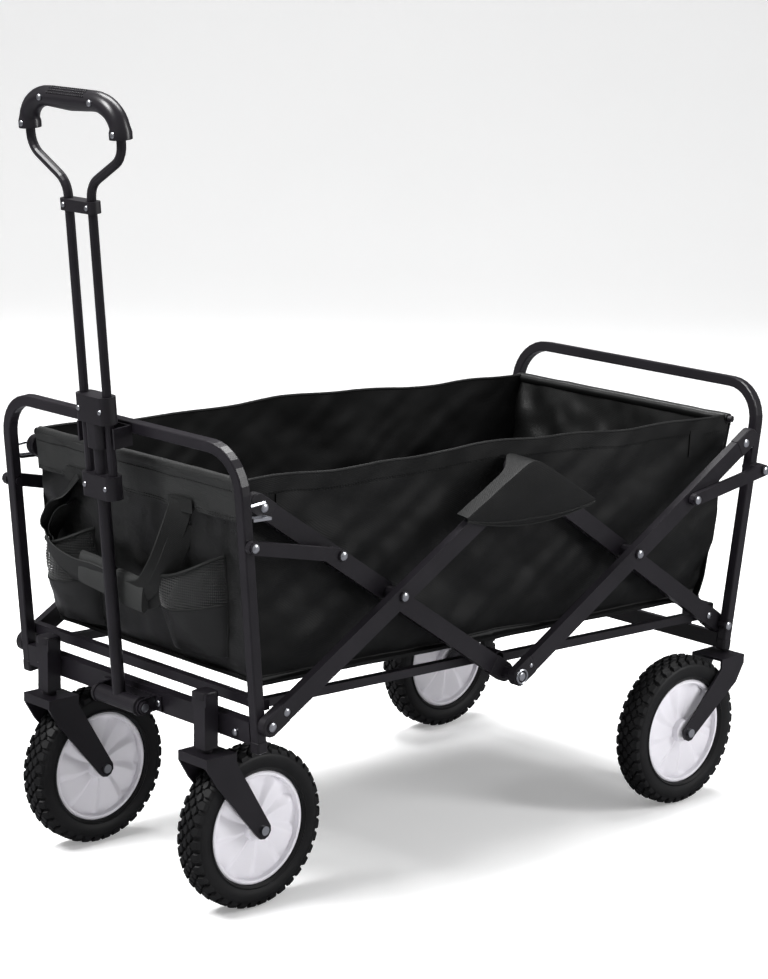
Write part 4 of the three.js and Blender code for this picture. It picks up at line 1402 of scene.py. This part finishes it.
def wrap_ring(x, z, long, t):
    """One ring of a hand wrap; t runs along it from 0 to 1."""
    centre = end_place(x + (t - 0.5) * long, z - (t - 0.5) * 7.0, -1, 31.0)
    swell = 1.0 + 0.10 * math.sin(math.pi * t)
    ring = []
    for j in range(12):
        a = 2 * math.pi * j / 12
        high = WRAP_HALF_HEIGHT * swell * squared(math.cos(a))
        deep = WRAP_HALF_DEPTH * swell * squared(math.sin(a))
        ring.append(centre + Vector((0.10 * high, -deep, high)))
    return ring


class WAGON_OT_carry_straps(bpy.types.Operator):
    """Webbing carry loop on the front cloth with two hook-and-loop hand wraps"""

    bl_idname = "wagon.carry_straps"
    bl_label = "Carry straps"

    def execute(self, context):
        width = context.scene.wagon_cloth.strap_width
        points = smooth_run([end_place(x, z, -1, out + 2.0) for x, z, out in STRAP_STOPS], 6)
        facing = []
        for i in range(len(points)):
            share = i / (len(points) - 1)
            ends = abs(2 * share - 1) ** 3
            lean = Vector((0.9 * (1 if share < 0.5 else -1) * ends + 0.15, -0.35, 0.9 - 0.75 * ends))
            facing.append(lean.normalized())
        strap = Solid()
        strap.strap(points, facing, width, 0.0020)
        strap.finish("carry_strap", "webbing", "chassis_front")
        lower = Solid()
        second = smooth_run([end_place(x + 4, z - 9, -1, out - 4.0) for x, z, out in STRAP_STOPS[1:-1]], 6)
        lower.strap(second, facing[6:6 + len(second)], width, 0.0018)
        lower.finish("carry_strap_inner", "webbing", "chassis_front")
        wraps = Solid()
        for x, z, long in HAND_WRAPS:
            wraps.rings([wrap_ring(x, z, long, k / 8) for k in range(9)])
        wraps.finish("hand_wraps", "wrap", "chassis_front")
        tacks = Solid()
        for x, z in STRAP_TACKS:
            tacks.shell(
                lambda u, v: end_place(x + (u - 0.5) * 38.0, z + (v - 0.5) * 16.0, -1, 8.0), 8, 5, 0.0014
            )
        tacks.finish("strap_tacks", "webbing", "chassis_front")
        return {"FINISHED"}


# ---------------------------------------------------------------- stage

CAMERA_PLACE = (2.43139, -2.28596, 1.15675)
CAMERA_AZIMUTH = math.radians(46.65)
CAMERA_ELEVATION = math.radians(12.61)
CAMERA_ROLL = math.radians(1.09)
FOCAL_IN_HEIGHTS = 2.8806



# Each softbox: name, place and target in the camera's turn, power in watts, and size in metres.
LIGHTS = (
    ("key", (-1.9, -1.2, 2.9), (0, 0, 0.35), 130.0, (1.1, 1.1)),
    ("side", (2.6, -0.6, 1.5), (0, 0, 0.35), 42.0, (0.5, 1.8)),
    ("top", (0.2, 0.9, 3.2), (0, 0, 0.3), 130.0, (2.4, 1.0)),
)
WORLD_STRENGTH, FLOOR_GLOW = 0.36, 0.22
FLOOR_REACH, FLOOR_BACK, FLOOR_BEND, FLOOR_WALL = 9.0, 4.0, 2.5, 6.0
FLOOR_DROP = 0.0006


def add_softbox(name, place, target, energy, size):
    """A rectangular area light aimed at a point."""
    data = bpy.data.lights.new(name, "AREA")
    data.energy = energy
    data.shape = "RECTANGLE"
    data.size, data.size_y = size
    light = bpy.data.objects.new(name, data)
    light.location = place
    light.rotation_mode = "QUATERNION"
    light.rotation_quaternion = (Vector(target) - Vector(place)).to_track_quat("-Z", "Y")
    bpy.context.scene.collection.objects.link(light)


def floor_material():
    """Pale matt floor: a little bright to the eye, and darker where gloss mirrors it."""
    made, tree, shader = new_material("pale_floor", specular=0.2)
    mottle = group_node(tree, "mottle", Colour=(0.93, 0.93, 0.932, 1), Second_colour=(0.94, 0.94, 0.942, 1),
                        Scale=2.0, Low=0.7, High=0.8)
    rays = tree.nodes.new("ShaderNodeLightPath")
    factor, seen, mirrored, mixed = colour_mix(tree)
    tree.links.new(rays.outputs["Is Glossy Ray"], factor)
    tree.links.new(mottle.outputs["Colour"], seen)
    mirrored.default_value = (0.16, 0.16, 0.17, 1)
    tree.links.new(mixed, shader.inputs["Base Color"])
    tree.links.new(mottle.outputs["Value"], shader.inputs["Roughness"])
    tree.links.new(rays.outputs["Is Camera Ray"], shader.inputs["Emission Color"])
    shader.inputs["Emission Strength"].default_value = FLOOR_GLOW
    return made


def add_floor(turn):
    """A floor that curves up into a wall behind the wagon."""
    profile = [(-FLOOR_REACH, 0.0), (FLOOR_BACK, 0.0)]
    for k in range(1, 11):
        a = math.radians(9 * k)
        profile.append((FLOOR_BACK + FLOOR_BEND * math.sin(a), FLOOR_BEND * (1 - math.cos(a))))
    profile.append((FLOOR_BACK + FLOOR_BEND, FLOOR_WALL))
    verts = []
    for y, z in profile:
        for x in (-FLOOR_REACH, FLOOR_REACH):
            verts.append(turn @ Vector((x, y, z - FLOOR_DROP)))
    faces = [[2 * i, 2 * i + 1, 2 * i + 3, 2 * i + 2] for i in range(len(profile) - 1)]
    keep_mesh("pale_floor", verts, faces, floor_material(), None)


def add_camera(turn):
    """The camera, placed and rolled as set above."""
    data = bpy.data.cameras.new("camera")
    data.lens = FOCAL_IN_HEIGHTS * data.sensor_width
    data.clip_end = 60.0
    camera = bpy.data.objects.new("camera", data)
    ahead = turn @ Vector((0, math.cos(CAMERA_ELEVATION), -math.sin(CAMERA_ELEVATION)))
    right = turn @ Vector((1, 0, 0))
    up = right.cross(ahead)
    c, s = math.cos(CAMERA_ROLL), math.sin(CAMERA_ROLL)
    side, top = right * c + up * s, up * c - right * s
    place = Matrix((side, top, -ahead)).transposed().to_4x4()
    place.translation = Vector(CAMERA_PLACE)
    camera.matrix_world = place
    bpy.context.scene.collection.objects.link(camera)
    bpy.context.scene.camera = camera


class WAGON_OT_stage(bpy.types.Operator):
    """Pale floor, soft lights and the camera"""

    bl_idname = "wagon.stage"
    bl_label = "Stage"

    def execute(self, context):
        turn = Matrix.Rotation(CAMERA_AZIMUTH, 3, "Z")
        add_floor(turn)
        context.scene.view_settings.view_transform = "Standard"
        world = bpy.data.worlds.new("studio")
        context.scene.world = world
        world.use_nodes = True
        sky = world.node_tree.nodes["Background"]
        sky.inputs["Color"].default_value = (1.0, 1.0, 1.0, 1.0)
        sky.inputs["Strength"].default_value = WORLD_STRENGTH
        for name, place, target, energy, size in LIGHTS:
            add_softbox(name, turn @ Vector(place), target, energy, size)
        add_camera(turn)
        return {"FINISHED"}


# ---------------------------------------------------------------- add-on

OPERATORS = (
    WAGON_OT_stage,
    WAGON_OT_steel,
    WAGON_OT_bar_hardware,
    WAGON_OT_link_hardware,
    WAGON_OT_leg_hardware,
    WAGON_OT_tyres,
    WAGON_OT_rims,
    WAGON_OT_handle,
    WAGON_OT_tub_sides,
    WAGON_OT_tub_ends,
    WAGON_OT_tub_floor,
    WAGON_OT_joint_hoods,
    WAGON_OT_cup_pockets,
    WAGON_OT_carry_straps,
)


class WAGON_PT_panel(bpy.types.Panel):
    """Sidebar list of the wagon's builders and settings"""

    bl_idname = "WAGON_PT_panel"
    bl_label = "Folding wagon"
    bl_space_type = "VIEW_3D"
    bl_region_type = "UI"
    bl_category = "Wagon"

    def draw(self, context):
        for name in SETTINGS:
            settings = getattr(context.scene, name)
            for key in settings.__annotations__:
                self.layout.prop(settings, key)
        for operator in OPERATORS:
            self.layout.operator(operator.bl_idname)


SETTINGS = {"wagon_steel": SteelSettings, "wagon_wheels": WheelSettings, "wagon_cloth": ClothSettings}


def register():
    """Adds the settings, operators and panel."""
    for name, group in SETTINGS.items():
        bpy.utils.register_class(group)
        setattr(bpy.types.Scene, name, PointerProperty(type=group))
    for made in (*OPERATORS, WAGON_PT_panel):
        bpy.utils.register_class(made)


def unregister():
    """Takes them away again."""
    for made in (WAGON_PT_panel, *reversed(OPERATORS)):
        bpy.utils.unregister_class(made)
    for name, group in SETTINGS.items():
        delattr(bpy.types.Scene, name)
        bpy.utils.unregister_class(group)


def main():
    """Builds everything in order."""
    register()
    for operator in OPERATORS:
        family, name = operator.bl_idname.split(".")
        getattr(getattr(bpy.ops, family), name)()


if __name__ == "__main__":
    main()
